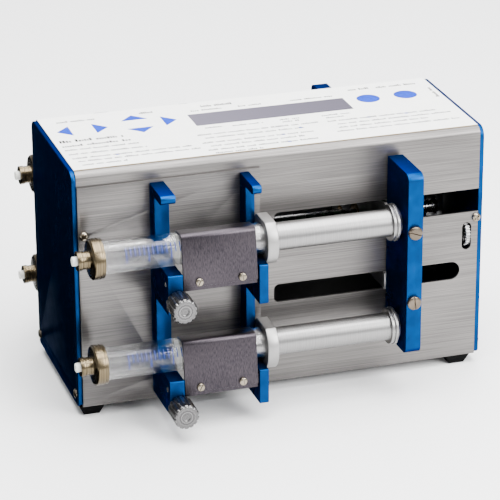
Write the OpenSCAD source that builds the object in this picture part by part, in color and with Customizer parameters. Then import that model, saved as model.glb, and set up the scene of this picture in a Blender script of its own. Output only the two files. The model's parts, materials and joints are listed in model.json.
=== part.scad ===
// Four-channel syringe pump: a folded steel casing between two anodised end plates, two syringes
// on the front wall and two on the rear, and one screw-driven carriage that pushes all four.
// Millimetres. X runs from the nozzle end to the drive end, Y from front to rear, Z up.
// The origin is the bottom centre of the whole pump's box, on the surface that the feet stand on.

/* [Body] */
// Width over the two end plates
body_w = 240; // [230:1:300]
// Depth over the front and rear walls
body_d = 95; // [90:0.5:130]
// Height of the casing, without feet and label
body_h = 139.5; // [136:0.5:180]
// Thickness of the end plates
end_plate_t = 2.5; // [2:0.5:4]
// Thickness of the folded casing and the base
sheet_t = 1.5; // [1:0.1:2]
// Outside radius of the casing's long bends
bend_r = 4; // [3:0.5:6]
// Radius of the end plates' upper corners
plate_corner_r = 6; // [4:0.5:10]
// Height of the feet
foot_h = 6; // [4:0.5:10]
// Side of a foot at its top
foot_top = 14; // [10:0.5:18]
// Side of a foot at its bottom
foot_bottom = 9; // [6:0.5:14]
// Thickness of the plates that carry the holders
mount_t = 1.5; // [1:0.1:3]
// Length of the plates that carry the holders
mount_l = 104; // [102:1:120]

/* [Panel] */
// Thickness of the label
label_t = 0.5; // [0.3:0.1:1]
// Length of an arrow key's base
arrow_base = 15; // [10:0.5:16]
// Height of an arrow key from base to point
arrow_h = 7.6; // [5:0.1:9]
// Diameter of the round keys
round_key_d = 13.4; // [9:0.1:16]
// Depth of the display window, front to rear
window_d = 20; // [14:0.5:22]
// Gap all round a key
key_gap = 0.2; // [0.15:0.05:0.4]
// Travel of a key
key_travel = 0.35; // [0.2:0.05:0.6]

/* [Syringes] */
// Outside diameter of the glass barrels
barrel_d = 18.2; // [14:0.1:22]
// Wall of the glass barrels
barrel_wall = 1; // [0.8:0.1:1.5]
// Gap between a barrel and its piston seal
seal_gap = 0.05; // [0.03:0.01:0.1]
// Gap between a barrel and its plunger rod
rod_gap = 0.3; // [0.2:0.05:0.6]
// Length of the piston seal
seal_l = 8; // [5:0.5:12]
// Distance from the nozzle cap to the piston
liquid_l = 41.6; // [10:0.1:44]
// Diameter of the plunger heads
head_d = 21.4; // [17:0.1:26]
// Length of the nozzle caps
cap_l = 7; // [5:0.5:10]
// Wall of the nozzle caps around the barrel
cap_wall = 2.2; // [1:0.1:4]
// Diameter of the nozzle hubs
hub_d = 10.8; // [8:0.1:14]
// Diameter of the nozzle tips
tip_d = 5.2; // [4:0.1:6]
// Thickness of the barrel collars
collar_t = 6.7; // [5:0.1:9]
// Diameter of the barrel collars before their flats
collar_d = 28.8; // [26:0.1:34]

/* [Holders] */
// Width of the holders next to the nozzles
left_holder_w = 8.2; // [7.5:0.1:12]
// Width of the holders next to the collars
right_holder_w = 5.2; // [5:0.1:9]
// Distance between the two holders
holder_gap = 43.5; // [36:0.5:44]
// How far the holder blocks stand out past the barrels
block_lip = 6.8; // [5:0.1:10]
// How far the holder noses stand out of their plate
nose_reach = 24; // [18:0.5:28]
// How far the back of the seats stands out of the plate
seat_reach = 10.5; // [8:0.5:12]
// Height of the lower blocks
lower_block_h = 20.5; // [18:0.1:24]
// Height of the upper blocks
upper_block_h = 23; // [20:0.1:24]
// Height of the noses
nose_h = 5; // [3:0.5:8]

/* [Retainers and knobs] */
// Thickness of the retainer sheet
retainer_t = 1.5; // [1:0.1:2]
// Lean of a closed retainer towards the barrel, in degrees
retainer_lean = 8; // [4:1:10]
// Diameter of the hinge pins
hinge_pin_d = 3; // [2:0.1:4]
// Side of the hinge bars
hinge_bar_s = 8.4; // [7:0.1:9]
// Diameter of the thumb knobs
knob_d = 14.4; // [10:0.1:15]
// Length of the thumb knobs
knob_l = 13.8; // [10:0.1:20]
// Diameter of the threaded studs of the knobs
stud_d = 4; // [3:0.5:4.5]

/* [Drive] */
// Width of the pushers along the screw
pusher_w = 8.8; // [7:0.1:12]
// How far the pushers stand out of the wall
pusher_reach = 36; // [32:0.5:42]
// Height of the upper slots
upper_slot_h = 13.7; // [11:0.1:17]
// Height of the lower slots
lower_slot_h = 10.9; // [10.5:0.1:14]
// Gap above and below the carriage arms in the narrower slots
arm_gap = 0.5; // [0.3:0.1:1]
// Diameter of the lead screw
screw_d = 8; // [6:0.5:10]
// Diameter of the guide rods
guide_d = 8; // [6:0.5:10]
// Radial gap of the running fits
run_gap = 0.05; // [0.02:0.01:0.1]
// Number of teeth of the driven gear
driven_teeth = 48; // [40:1:54]
// Number of teeth of the motor pinion
pinion_teeth = 16; // [14:1:20]
// Gear module
gear_module = 0.8; // [0.7:0.05:0.9]

/* [Hidden] */

$fn = 64;
small_fn = 24;
eps = 0.01;
FRONT = 0;
REAR = 1;
UPPER = 0;
LOWER = 1;

// Faces of the body
left_x = -body_w / 2;
right_x = body_w / 2;
shell_l = body_w - 2 * end_plate_t;
wall_y = -body_d / 2;
mount_y = wall_y - mount_t;
base_z = foot_h;
top_z = base_z + body_h;

// Holders: the right one starts where the left one and the gap end
left_holder_x = left_x + 43;
hinge_x = left_holder_x + left_holder_w;
right_holder_x = hinge_x + holder_gap;
collar_x = right_holder_x + right_holder_w;
nose_top_z = top_z - 9.4;
nose_z = nose_top_z - nose_h;
upper_room = 36.6;
lower_block_z = base_z + 5.2;
seats = [nose_z - upper_room, lower_block_z + lower_block_h];
seat_y = mount_y - seat_reach;
block_reach = seat_reach + barrel_d + block_lip;
block_y = mount_y - block_reach;
block_edge_r = 1;
nose_edge_r = 2.4;

// Syringe axes rest on the seats, a hair off both faces
seat_gap = 0.05;
barrel_r = barrel_d / 2;
bore_r = barrel_r - barrel_wall;
axis_y = seat_y - barrel_r - seat_gap;
function axis_z(level) = seats[level] + barrel_r + seat_gap;
cap_x = left_x + 3.3;
cap_r = barrel_r + cap_wall;
cap_floor = 1.8;
hub_l = 7;
tip_out = 2.4;
tip_in = 4;
barrel_start_x = cap_x + cap_floor;
collar_lip = 2.4;
barrel_end_x = collar_x + collar_t - collar_lip;
collar_end_x = collar_x + collar_t;
collar_flat = 12;
collar_gap = 0.3;
piston_x = cap_x + cap_l + liquid_l;
plunger_rod_r = bore_r - rod_gap;
seal_stud_r = 3;
seal_stud_l = 4;

// Retainers turn about pins in the blocks
pin_back = 5.7;
pin_drop = 6.6;
pin_y = block_y + pin_back;
function pin_z(level) = seats[level] - pin_drop;
pin_grip = 6;
pin_r = hinge_pin_d / 2;
hinge_side_gap = 0.5;
hinge_end_gap = 0.9;
retainer_l = holder_gap - hinge_side_gap - hinge_end_gap;
plate_front = -hinge_bar_s / 2 - retainer_t;
plate_low = -1.8;
flange_reach = 11.8;
retainer_bend_r = 3;
retainer_clear = 0.3;
// Height of the barrel's top above the pin, in the leaning retainer's own frame
function flange_z(level) =
    (axis_y - pin_y) * sin(retainer_lean) + (axis_z(level) - pin_z(level)) * cos(retainer_lean)
    + barrel_r + retainer_clear;
retainer_screw_inset = pin_grip + 2.8;

// Knobs sit on the fronts of the left holders
knob_x = left_holder_x + 5.3;
knob_drop = 15.4;
knob_face_gap = 0.6;
stud_l = 14;
flutes = 14;

// Carriage, pushers and slots
pusher_x = right_x - 58.9;
pusher_gap = 2.5;
pusher_back_y = wall_y - pusher_gap;
pusher_front_y = wall_y - pusher_reach;
pusher_low_z = base_z + 22.3;
pusher_high_z = top_z - 9.5;
pusher_edge_r = 4.4;
upper_slot_z = base_z + 89.2;
lower_slot_z = base_z + 48.6;
slot_x = left_x + 114.9;
lower_slot_end_x = right_x - 13;
slot_corner_r = 3;
arm_h = min(upper_slot_h, lower_slot_h) - 2 * arm_gap;
upper_arm_z = upper_slot_z + (upper_slot_h - arm_h) / 2;
lower_arm_z = lower_slot_z + (lower_slot_h - arm_h) / 2;
arm_x = pusher_x - 1;
arm_w = pusher_w + 2.2;
carriage_y = body_d / 2 - sheet_t - 6;
screw_z = base_z + 76;
screw_r = screw_d / 2;
guide_y = 26;
guide_z = base_z + 66;
guide_r = guide_d / 2;
nut_r = screw_r + 4;
nut_flange_r = nut_r + 4;
bush_r = guide_r + 2;
pusher_screw_x = pusher_x + 4.1;
head_gap = 0.3;
head_t = 4;
head_x = pusher_x - head_gap - 2;

// Drive at the left end
bulkhead_x = left_x + 62;
bulkhead_t = 3;
gear_x = bulkhead_x + 6.5;
gear_w = 6;
gear_centres = gear_module * (driven_teeth + pinion_teeth) / 2;
motor_z = screw_z - gear_centres;
motor_s = 42;
motor_l = 40;
bearing_r = screw_r + 5;
bearing_w = 6;
end_block_x = right_x - end_plate_t - 8;

// Trim wheel behind its window in the front wall
trim_window_x = right_x - 9.2;
trim_window_w = 5.6;
trim_window_h = 16.6;
trim_w = 2.8;
trim_x = trim_window_x - 0.5;
trim_r = 8.5;
trim_y = wall_y + trim_r - 1;
trim_z = base_z + 74.5;
trim_axle_r = 1.5;

// Label and keys
label_d = body_d - 2 * bend_r - 0.6;
key_row_y = 18.4;
rewind_x = left_x + 16;
advance_x = left_x + 30;
set_x = left_x + 55;
next_x = left_x + 70.4;
set_spread = 7;
window_x = next_x + arrow_h + 8;
reset_x = right_x - 46;
start_x = right_x - 23;
window_end_x = reset_x - round_key_d / 2 - 7.2;
window_w = window_end_x - window_x;
window_y = 4.1;
window_land = 2;
key_proud = 0.15;
stem_d = 4;
stem_l = 2;
board_z = top_z - 13;
board_t = 1.6;

// Shift that centres the whole box on X: the nozzle tips reach further than the right side
right_out = 2;
tip_x = cap_x - hub_l - tip_out;
shift_x = -(tip_x + right_x + right_out) / 2;

BLUE = "royalblue";
STEEL = "silver";
NICKEL = "tan";
ALUMINIUM = "gainsboro";
DARK = "dimgray";

module place() translate([shift_x, 0, 0]) children();

module on_side(side) {
    if (side == FRONT) children();
    else mirror([0, 1, 0]) children();
}

module both_sides() {
    children();
    mirror([0, 1, 0]) children();
}

module all_syringes() {
    for (level = [UPPER, LOWER])
        both_sides() translate([0, axis_y, axis_z(level)]) children();
}

// Bar along X with its start face at x
module rod_x(x, r, l, fn = $fn) {
    translate([x, 0, 0]) rotate([0, 90, 0]) cylinder(r = r, h = l, $fn = fn);
}

// Bar along Y from y towards the rear
module rod_y(r, l, fn = $fn) {
    rotate([-90, 0, 0]) cylinder(r = r, h = l, $fn = fn);
}

// Flat outline in Y and Z, pulled along X
module profile_x(x, l) {
    translate([x, 0, 0]) rotate([90, 0, 90]) linear_extrude(l) children();
}

// Rectangle from corner to corner with its own radius at each end in Z
module panel_outline(y0, z0, y1, z1, top_r, low_r) {
    union() {
        translate([y0, z0 + low_r]) square([y1 - y0, z1 - z0 - low_r - top_r]);
        translate([y0 + top_r, z0 + low_r]) square([y1 - y0 - 2 * top_r, z1 - z0 - low_r]);
        translate([y0 + low_r, z0]) square([y1 - y0 - 2 * low_r, low_r + eps]);
        for (y = [y0 + top_r, y1 - top_r]) translate([y, z1 - top_r]) circle(top_r);
        for (y = [y0 + low_r, y1 - low_r]) translate([y, z0 + low_r]) circle(low_r);
    }
}

plate_low_r = 3;
module end_plate_outline() {
    panel_outline(-body_d / 2, base_z, body_d / 2, top_z, plate_corner_r, plate_low_r);
}

end_screw_y = body_d / 2 - 4.6;
end_screw_z = base_z + 7;
end_screw_r = 1.6;
inlet_y = 20;
inlet_z = base_z + 26;
inlet_r = 5.5;
inlet_bore_r = 3;

module end_screw_holes(x) {
    for (y = [-end_screw_y, end_screw_y])
        translate([0, y, end_screw_z]) rod_x(x - eps, end_screw_r, end_plate_t + 2 * eps);
}

module left_end_plate() {
    color(BLUE) difference() {
        profile_x(left_x, end_plate_t) end_plate_outline();
        end_screw_holes(left_x);
    }
}

module right_end_plate() {
    color(BLUE) difference() {
        profile_x(right_x - end_plate_t, end_plate_t) end_plate_outline();
        end_screw_holes(right_x - end_plate_t);
        translate([0, inlet_y, inlet_z])
            rod_x(right_x - end_plate_t - eps, inlet_r, end_plate_t + 2 * eps);
    }
}

// Upper slot in the X-Z plane, open at the casing's right end
module upper_slot() {
    translate([slot_x, 0, upper_slot_z]) rotate([90, 0, 0]) linear_extrude(3 * sheet_t, center = true) {
        translate([slot_corner_r, 0]) square([right_x - slot_x, upper_slot_h]);
        translate([0, slot_corner_r]) square([slot_corner_r + eps, upper_slot_h - 2 * slot_corner_r]);
        for (z = [slot_corner_r, upper_slot_h - slot_corner_r])
            translate([slot_corner_r, z]) circle(slot_corner_r);
    }
}

// Lower slot: small corners on the left and a full round on the right
module lower_slot() {
    slot_l = lower_slot_end_x - slot_x;
    end_r = lower_slot_h / 2;
    translate([slot_x, 0, lower_slot_z]) rotate([90, 0, 0]) linear_extrude(3 * sheet_t, center = true) {
        translate([slot_corner_r, 0]) square([slot_l - slot_corner_r - end_r, lower_slot_h]);
        translate([0, slot_corner_r]) square([slot_corner_r + eps, lower_slot_h - 2 * slot_corner_r]);
        translate([slot_l - end_r, end_r]) circle(end_r);
        for (z = [slot_corner_r, lower_slot_h - slot_corner_r])
            translate([slot_corner_r, z]) circle(slot_corner_r);
    }
}

module trim_window() {
    r = trim_window_w / 2;
    translate([trim_window_x, wall_y, trim_z]) rotate([90, 0, 0])
        linear_extrude(3 * sheet_t, center = true) {
        square([trim_window_w, trim_window_h - trim_window_w], center = true);
        for (s = [-1, 1]) translate([0, s * (trim_window_h / 2 - r)]) circle(r, $fn = 32);
    }
}

// Arrow key outline with its base's middle on the origin and its point along +X
module arrow(grow = 0) {
    polygon([
        [-grow, -arrow_base / 2 - 1.6 * grow],
        [arrow_h + 1.4 * grow, 0],
        [-grow, arrow_base / 2 + 1.6 * grow]
    ]);
}

module key_outline(key, grow = 0) {
    if (key == "rewind_key") translate([rewind_x, key_row_y]) rotate(180) arrow(grow);
    if (key == "advance_key") translate([advance_x, key_row_y]) arrow(grow);
    if (key == "up_key") translate([set_x, key_row_y + set_spread]) rotate(90) arrow(grow);
    if (key == "down_key") translate([set_x, key_row_y - set_spread]) rotate(-90) arrow(grow);
    if (key == "next_key") translate([next_x, key_row_y]) arrow(grow);
    if (key == "reset_key") translate([reset_x, key_row_y]) circle(round_key_d / 2 + grow);
    if (key == "start_key") translate([start_x, key_row_y]) circle(round_key_d / 2 + grow);
}

KEYS = ["rewind_key", "advance_key", "up_key", "down_key", "next_key", "reset_key", "start_key"];
arrow_middle = arrow_h / 3;
function key_spot(key) =
    key == "rewind_key" ? [rewind_x - arrow_middle, key_row_y] :
    key == "advance_key" ? [advance_x + arrow_middle, key_row_y] :
    key == "up_key" ? [set_x, key_row_y + set_spread + arrow_middle] :
    key == "down_key" ? [set_x, key_row_y - set_spread - arrow_middle] :
    key == "next_key" ? [next_x + arrow_middle, key_row_y] :
    key == "reset_key" ? [reset_x, key_row_y] : [start_x, key_row_y];

module key_holes() {
    for (key = KEYS) key_outline(key, key_gap);
}

module casing_shell() {
    x0 = -shell_l / 2;
    color(STEEL) difference() {
        profile_x(x0, shell_l) difference() {
            panel_outline(-body_d / 2, base_z, body_d / 2, top_z, bend_r, eps);
            panel_outline(-body_d / 2 + sheet_t, base_z - 2 * eps, body_d / 2 - sheet_t,
                          top_z - sheet_t, bend_r - sheet_t, eps);
        }
        both_sides() {
            translate([0, wall_y, 0]) {
                upper_slot();
                lower_slot();
            }
            panel_screw_holes();
            holder_screw_holes();
        }
        trim_window();
        translate([0, 0, top_z - 2 * sheet_t]) linear_extrude(3 * sheet_t) {
            key_holes();
            translate([window_x + window_land, window_y + window_land])
                square([window_w - 2 * window_land, window_d - 2 * window_land]);
        }
    }
}

lug_w = 5.6;
lug_h = 12;
lug_t = 2;
module base_plate() {
    inner_d = body_d - 2 * sheet_t;
    color(STEEL) difference() {
        union() {
            translate([-shell_l / 2, -inner_d / 2, base_z]) cube([shell_l, inner_d, sheet_t]);
            for (x = [-shell_l / 2, shell_l / 2 - lug_t], y = [-end_screw_y, end_screw_y])
                translate([x, y - lug_w / 2, base_z]) cube([lug_t, lug_w, lug_h]);
        }
        for (x = [-shell_l / 2, shell_l / 2 - end_plate_t]) end_screw_holes(x);
    }
}

module mounting_plates() {
    color(STEEL) both_sides() difference() {
        translate([-shell_l / 2, mount_y, base_z + 2])
            cube([mount_l, mount_t, top_z - 8 - base_z - 2]);
        panel_screw_holes();
        holder_screw_holes();
    }
}

foot_left_inset = 8;
foot_right_inset = 12.5;
module rubber_feet() {
    color("black") for (x = [left_x + foot_left_inset, right_x - foot_right_inset])
        both_sides() translate([x, wall_y + foot_top / 2, 0])
            hull() {
                translate([-foot_bottom / 2, -foot_bottom / 2, 0])
                    cube([foot_bottom, foot_bottom, eps]);
                translate([-foot_top / 2, -foot_top / 2, foot_h - eps])
                    cube([foot_top, foot_top, eps]);
            }
}

module label_overlay() {
    color("white") translate([0, 0, top_z]) linear_extrude(label_t) difference() {
        translate([-shell_l / 2, -label_d / 2]) square([shell_l, label_d]);
        key_holes();
        translate([window_x, window_y]) square([window_w, window_d]);
    }
}

module display_window() {
    color("slategray") translate([window_x, window_y, top_z]) cube([window_w, window_d, label_t]);
}

module display_module() {
    glass_t = 6;
    side = 1;
    color("darkslategray")
        translate([window_x + side, window_y + side, top_z - sheet_t - glass_t])
            cube([window_w - 2 * side, window_d - 2 * side, glass_t]);
}

board_margin = 6;
standoff_inset = 5;
standoff_r = 3;
board_l = shell_l - 2 * board_margin;
board_d = body_d - 2 * sheet_t - 2 * board_margin;
flange_t = 0.8;
flange_grow = 0.7;
flange_top_z = top_z - sheet_t - 0.3;
stem_low_z = flange_top_z - flange_t - stem_l;
switch_s = 6;
switch_gap = 0.3;

// Board hung from the casing top on four standoffs, with one switch under each key
module control_board() {
    top = board_z + board_t;
    switch_h = stem_low_z - key_travel - switch_gap - top;
    color("green") {
        translate([-board_l / 2, -board_d / 2, board_z]) cube([board_l, board_d, board_t]);
        for (x = [-1, 1], y = [-1, 1])
            translate([x * (board_l / 2 - standoff_inset), y * (board_d / 2 - standoff_inset), top])
                cylinder(r = standoff_r, h = top_z - sheet_t - top, $fn = small_fn);
        for (key = KEYS)
            translate([key_spot(key).x - switch_s / 2, key_spot(key).y - switch_s / 2, top])
                cube([switch_s, switch_s, switch_h]);
    }
}

// Key cap through the label and casing, with a flange below them that stops it coming out
module label_key(key) {
    spot = key_spot(key);
    color(BLUE) {
        translate([0, 0, flange_top_z - eps])
            linear_extrude(top_z + label_t + key_proud - flange_top_z + eps) key_outline(key);
        translate([0, 0, flange_top_z - flange_t]) linear_extrude(flange_t)
            key_outline(key, flange_grow);
        translate([spot.x, spot.y, stem_low_z])
            cylinder(d = stem_d, h = stem_l + eps, $fn = small_fn);
    }
}

module rewind_key() { label_key("rewind_key"); }
module advance_key() { label_key("advance_key"); }
module up_key() { label_key("up_key"); }
module down_key() { label_key("down_key"); }
module next_key() { label_key("next_key"); }
module reset_key() { label_key("reset_key"); }
module start_key() { label_key("start_key"); }

// Outline of a holder in Y and Z: two blocks with seats on top, and a nose at the top
module holder_outline() {
    low = lower_block_z;
    union() {
        translate([seat_y, low]) square([seat_reach, nose_top_z - low]);
        block_outline(low, seats[LOWER]);
        block_outline(seats[UPPER] - upper_block_h, seats[UPPER]);
        translate([mount_y - nose_reach + nose_edge_r, nose_z])
            square([nose_reach - nose_edge_r, nose_h]);
        translate([mount_y - nose_reach, nose_z + nose_edge_r])
            square([nose_edge_r + eps, nose_h - 2 * nose_edge_r]);
        for (z = [nose_z + nose_edge_r, nose_top_z - nose_edge_r])
            translate([mount_y - nose_reach + nose_edge_r, z]) circle(nose_edge_r, $fn = 32);
    }
}

module block_outline(z0, z1) {
    translate([block_y + block_edge_r, z0]) square([block_reach - block_edge_r, z1 - z0]);
    translate([block_y, z0 + block_edge_r]) square([block_edge_r + eps, z1 - z0 - 2 * block_edge_r]);
    for (z = [z0 + block_edge_r, z1 - block_edge_r])
        translate([block_y + block_edge_r, z]) circle(block_edge_r, $fn = 32);
}

module pin_holes() {
    for (level = [UPPER, LOWER])
        translate([0, pin_y, pin_z(level)])
            rod_x(left_holder_x - eps, pin_r, collar_x - left_holder_x + 2 * eps);
}

module left_holder() {
    color(BLUE) difference() {
        profile_x(left_holder_x, left_holder_w) holder_outline();
        pin_holes();
        holder_screw_holes();
        for (level = [UPPER, LOWER])
            translate([knob_x, block_y - eps, seats[level] - knob_drop])
                rod_y(stud_d / 2 + run_gap, stud_l + 1);
    }
}

module right_holder() {
    color(BLUE) difference() {
        profile_x(right_holder_x, right_holder_w) holder_outline();
        pin_holes();
        holder_screw_holes();
    }
}

module front_left_holder() { left_holder(); }
module front_right_holder() { right_holder(); }
module rear_left_holder() { mirror([0, 1, 0]) left_holder(); }
module rear_right_holder() { mirror([0, 1, 0]) right_holder(); }

module hinge_pins() {
    color(STEEL) for (level = [UPPER, LOWER]) both_sides()
        translate([0, pin_y, pin_z(level)]) {
            rod_x(left_holder_x, pin_r, left_holder_w + pin_grip);
            rod_x(right_holder_x - pin_grip, pin_r, right_holder_w + pin_grip);
        }
}

// Retainer sheet in its upright frame, pin axis on the origin
module retainer_sheet_outline(level) {
    inner_z = flange_z(level);
    outer_z = inner_z + retainer_t;
    r = retainer_bend_r;
    difference() {
        union() {
            translate([plate_front, plate_low]) square([retainer_t, outer_z - r - plate_low]);
            translate([plate_front + r, inner_z]) square([flange_reach - r, retainer_t]);
            translate([plate_front + r, outer_z - r]) circle(r);
        }
        translate([plate_front + r, outer_z - r]) circle(r - retainer_t);
        translate([plate_front + retainer_t, 0]) square([flange_reach, inner_z - r + retainer_t]);
        translate([plate_front + r, 0]) square([flange_reach, inner_z]);
    }
}

module hinge_bar_outline() {
    s = hinge_bar_s / 2;
    union() {
        circle(s);
        translate([-s, -s]) square([s, 2 * s]);
    }
}

retainer_screw_r = 1.5;
retainer_head_r = 2.2;
retainer_head_h = 1.2;
slot_w = 0.7;
slot_deep = 0.6;
module retainer_screw() {
    difference() {
        union() {
            translate([0, plate_front - retainer_head_h, 0]) rod_y(retainer_head_r, retainer_head_h);
            translate([0, plate_front, 0]) rod_y(retainer_screw_r, retainer_t + 4);
        }
        translate([-retainer_head_r, plate_front - retainer_head_h - eps, -slot_w / 2])
            cube([2 * retainer_head_r, slot_deep, slot_w]);
    }
}

module retainer(level) {
    x0 = hinge_x + hinge_side_gap;
    screw_spots = [x0 + retainer_screw_inset, x0 + retainer_l - retainer_screw_inset];
    color(DARK) translate([0, pin_y, pin_z(level)]) rotate([-retainer_lean, 0, 0]) {
        difference() {
            union() {
                profile_x(x0, retainer_l) retainer_sheet_outline(level);
                difference() {
                    profile_x(x0, retainer_l) hinge_bar_outline();
                    rod_x(x0 - eps, pin_r + run_gap, pin_grip + 1);
                    rod_x(x0 + retainer_l - pin_grip - 1, pin_r + run_gap, pin_grip + 1 + eps);
                }
            }
            for (x = screw_spots)
                translate([x, plate_front - eps, 0]) rod_y(retainer_screw_r, retainer_t + 4 + eps);
        }
        for (x = screw_spots) translate([x, 0, 0]) retainer_screw();
    }
}

module retainer_front_upper() { retainer(UPPER); }
module retainer_front_lower() { retainer(LOWER); }
module retainer_rear_upper() { mirror([0, 1, 0]) retainer(UPPER); }
module retainer_rear_lower() { mirror([0, 1, 0]) retainer(LOWER); }

flute_r = 1.2;
module knob(level) {
    face_y = block_y - knob_face_gap;
    color(ALUMINIUM) translate([knob_x, face_y, seats[level] - knob_drop]) {
        difference() {
            translate([0, -knob_l, 0]) rod_y(knob_d / 2, knob_l);
            for (i = [0:flutes - 1]) rotate([0, i * 360 / flutes, 0])
                translate([knob_d / 2 + 0.7, -knob_l - eps, 0]) rod_y(flute_r, knob_l + 2 * eps, 32);
        }
        translate([0, -eps, 0]) rod_y(stud_d / 2, stud_l);
    }
}

module knob_front_upper() { knob(UPPER); }
module knob_front_lower() { knob(LOWER); }
module knob_rear_upper() { mirror([0, 1, 0]) knob(UPPER); }
module knob_rear_lower() { mirror([0, 1, 0]) knob(LOWER); }

module syringe_barrels() {
    l = barrel_end_x - barrel_start_x;
    color("lightblue", 0.5) all_syringes() difference() {
        rod_x(barrel_start_x, barrel_r, l);
        rod_x(barrel_start_x - eps, bore_r, l + 2 * eps);
    }
}

module nozzle_caps() {
    color(NICKEL) all_syringes() difference() {
        union() {
            rod_x(cap_x, cap_r, cap_l);
            rod_x(cap_x - hub_l, hub_d / 2, hub_l + eps);
        }
        rod_x(barrel_start_x, barrel_r, cap_l);
        rod_x(cap_x - hub_l - eps, tip_d / 2, tip_in + eps);
        rod_x(cap_x - hub_l, 1, hub_l + cap_floor + eps, small_fn);
    }
}

module nozzle_tips() {
    color("white") all_syringes() difference() {
        rod_x(cap_x - hub_l - tip_out, tip_d / 2, tip_out + tip_in);
        rod_x(cap_x - hub_l - tip_out - eps, 1, tip_out + tip_in + 2 * eps, small_fn);
    }
}

module barrel_collars() {
    color(ALUMINIUM) all_syringes() difference() {
        intersection() {
            rod_x(collar_x + collar_gap, collar_d / 2, collar_t - collar_gap);
            translate([collar_x, -collar_d, -collar_flat])
                cube([collar_t + eps, 2 * collar_d, 2 * collar_flat]);
        }
        rod_x(collar_x, barrel_r, collar_t - collar_lip);
        rod_x(collar_x, bore_r, collar_t + eps);
    }
}

module plunger(level) {
    rod_x0 = piston_x + seal_l - seal_stud_l;
    color(ALUMINIUM) translate([0, axis_y, axis_z(level)]) {
        rod_x(rod_x0, seal_stud_r, seal_stud_l + eps);
        rod_x(piston_x + seal_l, plunger_rod_r, pusher_x - head_gap - piston_x - seal_l);
        rod_x(head_x - head_t, head_d / 2, head_t);
    }
}

module seal(level) {
    color("white") translate([0, axis_y, axis_z(level)]) difference() {
        rod_x(piston_x, bore_r - seal_gap, seal_l);
        rod_x(piston_x + seal_l - seal_stud_l, seal_stud_r, seal_stud_l + eps);
    }
}

module plunger_front_upper() { plunger(UPPER); }
module plunger_front_lower() { plunger(LOWER); }
module plunger_rear_upper() { mirror([0, 1, 0]) plunger(UPPER); }
module plunger_rear_lower() { mirror([0, 1, 0]) plunger(LOWER); }
module seal_front_upper() { seal(UPPER); }
module seal_front_lower() { seal(LOWER); }
module seal_rear_upper() { mirror([0, 1, 0]) seal(UPPER); }
module seal_rear_lower() { mirror([0, 1, 0]) seal(LOWER); }

pusher_screw_r = 2;
pusher_head_r = 4;
pusher_head_h = 2.4;
pusher_screw_in = 8;
arm_mid_z = [upper_arm_z + arm_h / 2, lower_arm_z + arm_h / 2];

module carriage() {
    color(ALUMINIUM) difference() {
        union() {
            translate([arm_x, -carriage_y, lower_arm_z])
                cube([arm_w, 2 * carriage_y, upper_arm_z + arm_h - lower_arm_z]);
            for (z = [lower_arm_z, upper_arm_z])
                translate([arm_x, pusher_back_y, z]) cube([arm_w, -2 * pusher_back_y, arm_h]);
        }
        translate([0, 0, screw_z]) rod_x(arm_x - eps, nut_r, arm_w + 2 * eps);
        for (y = [-guide_y, guide_y])
            translate([0, y, guide_z]) rod_x(arm_x - eps, bush_r, arm_w + 2 * eps);
        both_sides() for (z = arm_mid_z)
            translate([pusher_screw_x, pusher_back_y - eps, z])
                rod_y(pusher_screw_r, pusher_screw_in + eps);
    }
}

module nut_and_bushes() {
    flange_w = 4;
    color("goldenrod") {
        translate([0, 0, screw_z]) difference() {
            union() {
                rod_x(arm_x, nut_r, arm_w);
                rod_x(arm_x + arm_w, nut_flange_r, flange_w);
            }
            rod_x(arm_x - eps, screw_r + run_gap, arm_w + flange_w + 2 * eps);
        }
        for (y = [-guide_y, guide_y]) translate([0, y, guide_z]) difference() {
            rod_x(arm_x, bush_r, arm_w);
            rod_x(arm_x - eps, guide_r + run_gap, arm_w + 2 * eps);
        }
    }
}

module pusher() {
    r = pusher_edge_r;
    depth = pusher_back_y - pusher_front_y;
    h = pusher_high_z - pusher_low_z;
    color(BLUE) difference() {
        profile_x(pusher_x, pusher_w) union() {
            translate([pusher_front_y + r, pusher_low_z]) square([depth - r, h]);
            translate([pusher_front_y, pusher_low_z + r]) square([r + eps, h - 2 * r]);
            for (z = [pusher_low_z + r, pusher_high_z - r])
                translate([pusher_front_y + r, z]) circle(r);
        }
        for (z = arm_mid_z) translate([pusher_screw_x, pusher_front_y - eps, z])
            rod_y(pusher_screw_r, depth + 2 * eps);
    }
}

module front_pusher() { pusher(); }
module rear_pusher() { mirror([0, 1, 0]) pusher(); }

module pusher_screws() {
    depth = pusher_back_y - pusher_front_y;
    color(NICKEL) both_sides() for (z = arm_mid_z)
        translate([pusher_screw_x, pusher_front_y, z]) difference() {
            union() {
                translate([0, -pusher_head_h, 0]) rod_y(pusher_head_r, pusher_head_h);
                rod_y(pusher_screw_r, depth + pusher_screw_in);
            }
            translate([-0.5, -pusher_head_h - eps, -pusher_head_r]) cube([1, 1.2, 2 * pusher_head_r]);
        }
}

screw_start_x = bulkhead_x;
screw_end_x = right_x - end_plate_t - 0.5;
module lead_screw() {
    color(STEEL) translate([0, 0, screw_z]) rod_x(screw_start_x, screw_r, screw_end_x - screw_start_x);
}

// Spur gear along X: a disc between the pitch circle and the roots, with one tooth repeated
module spur_gear(teeth, bore) {
    pitch_r = gear_module * teeth / 2;
    root_r = pitch_r - 1.25 * gear_module;
    tip_r = pitch_r + 0.95 * gear_module;
    half_root = 0.85 * gear_module;
    half_tip = 0.32 * gear_module;
    rotate([90, 0, 90]) linear_extrude(gear_w) difference() {
        union() {
            circle(root_r);
            for (i = [0:teeth - 1]) rotate(i * 360 / teeth)
                polygon([[root_r - 0.3, -half_root], [tip_r, -half_tip], [tip_r, half_tip],
                         [root_r - 0.3, half_root]]);
        }
        circle(bore);
    }
}

module driven_gear() {
    color("goldenrod") translate([gear_x, 0, screw_z]) spur_gear(driven_teeth, screw_r);
}

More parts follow.
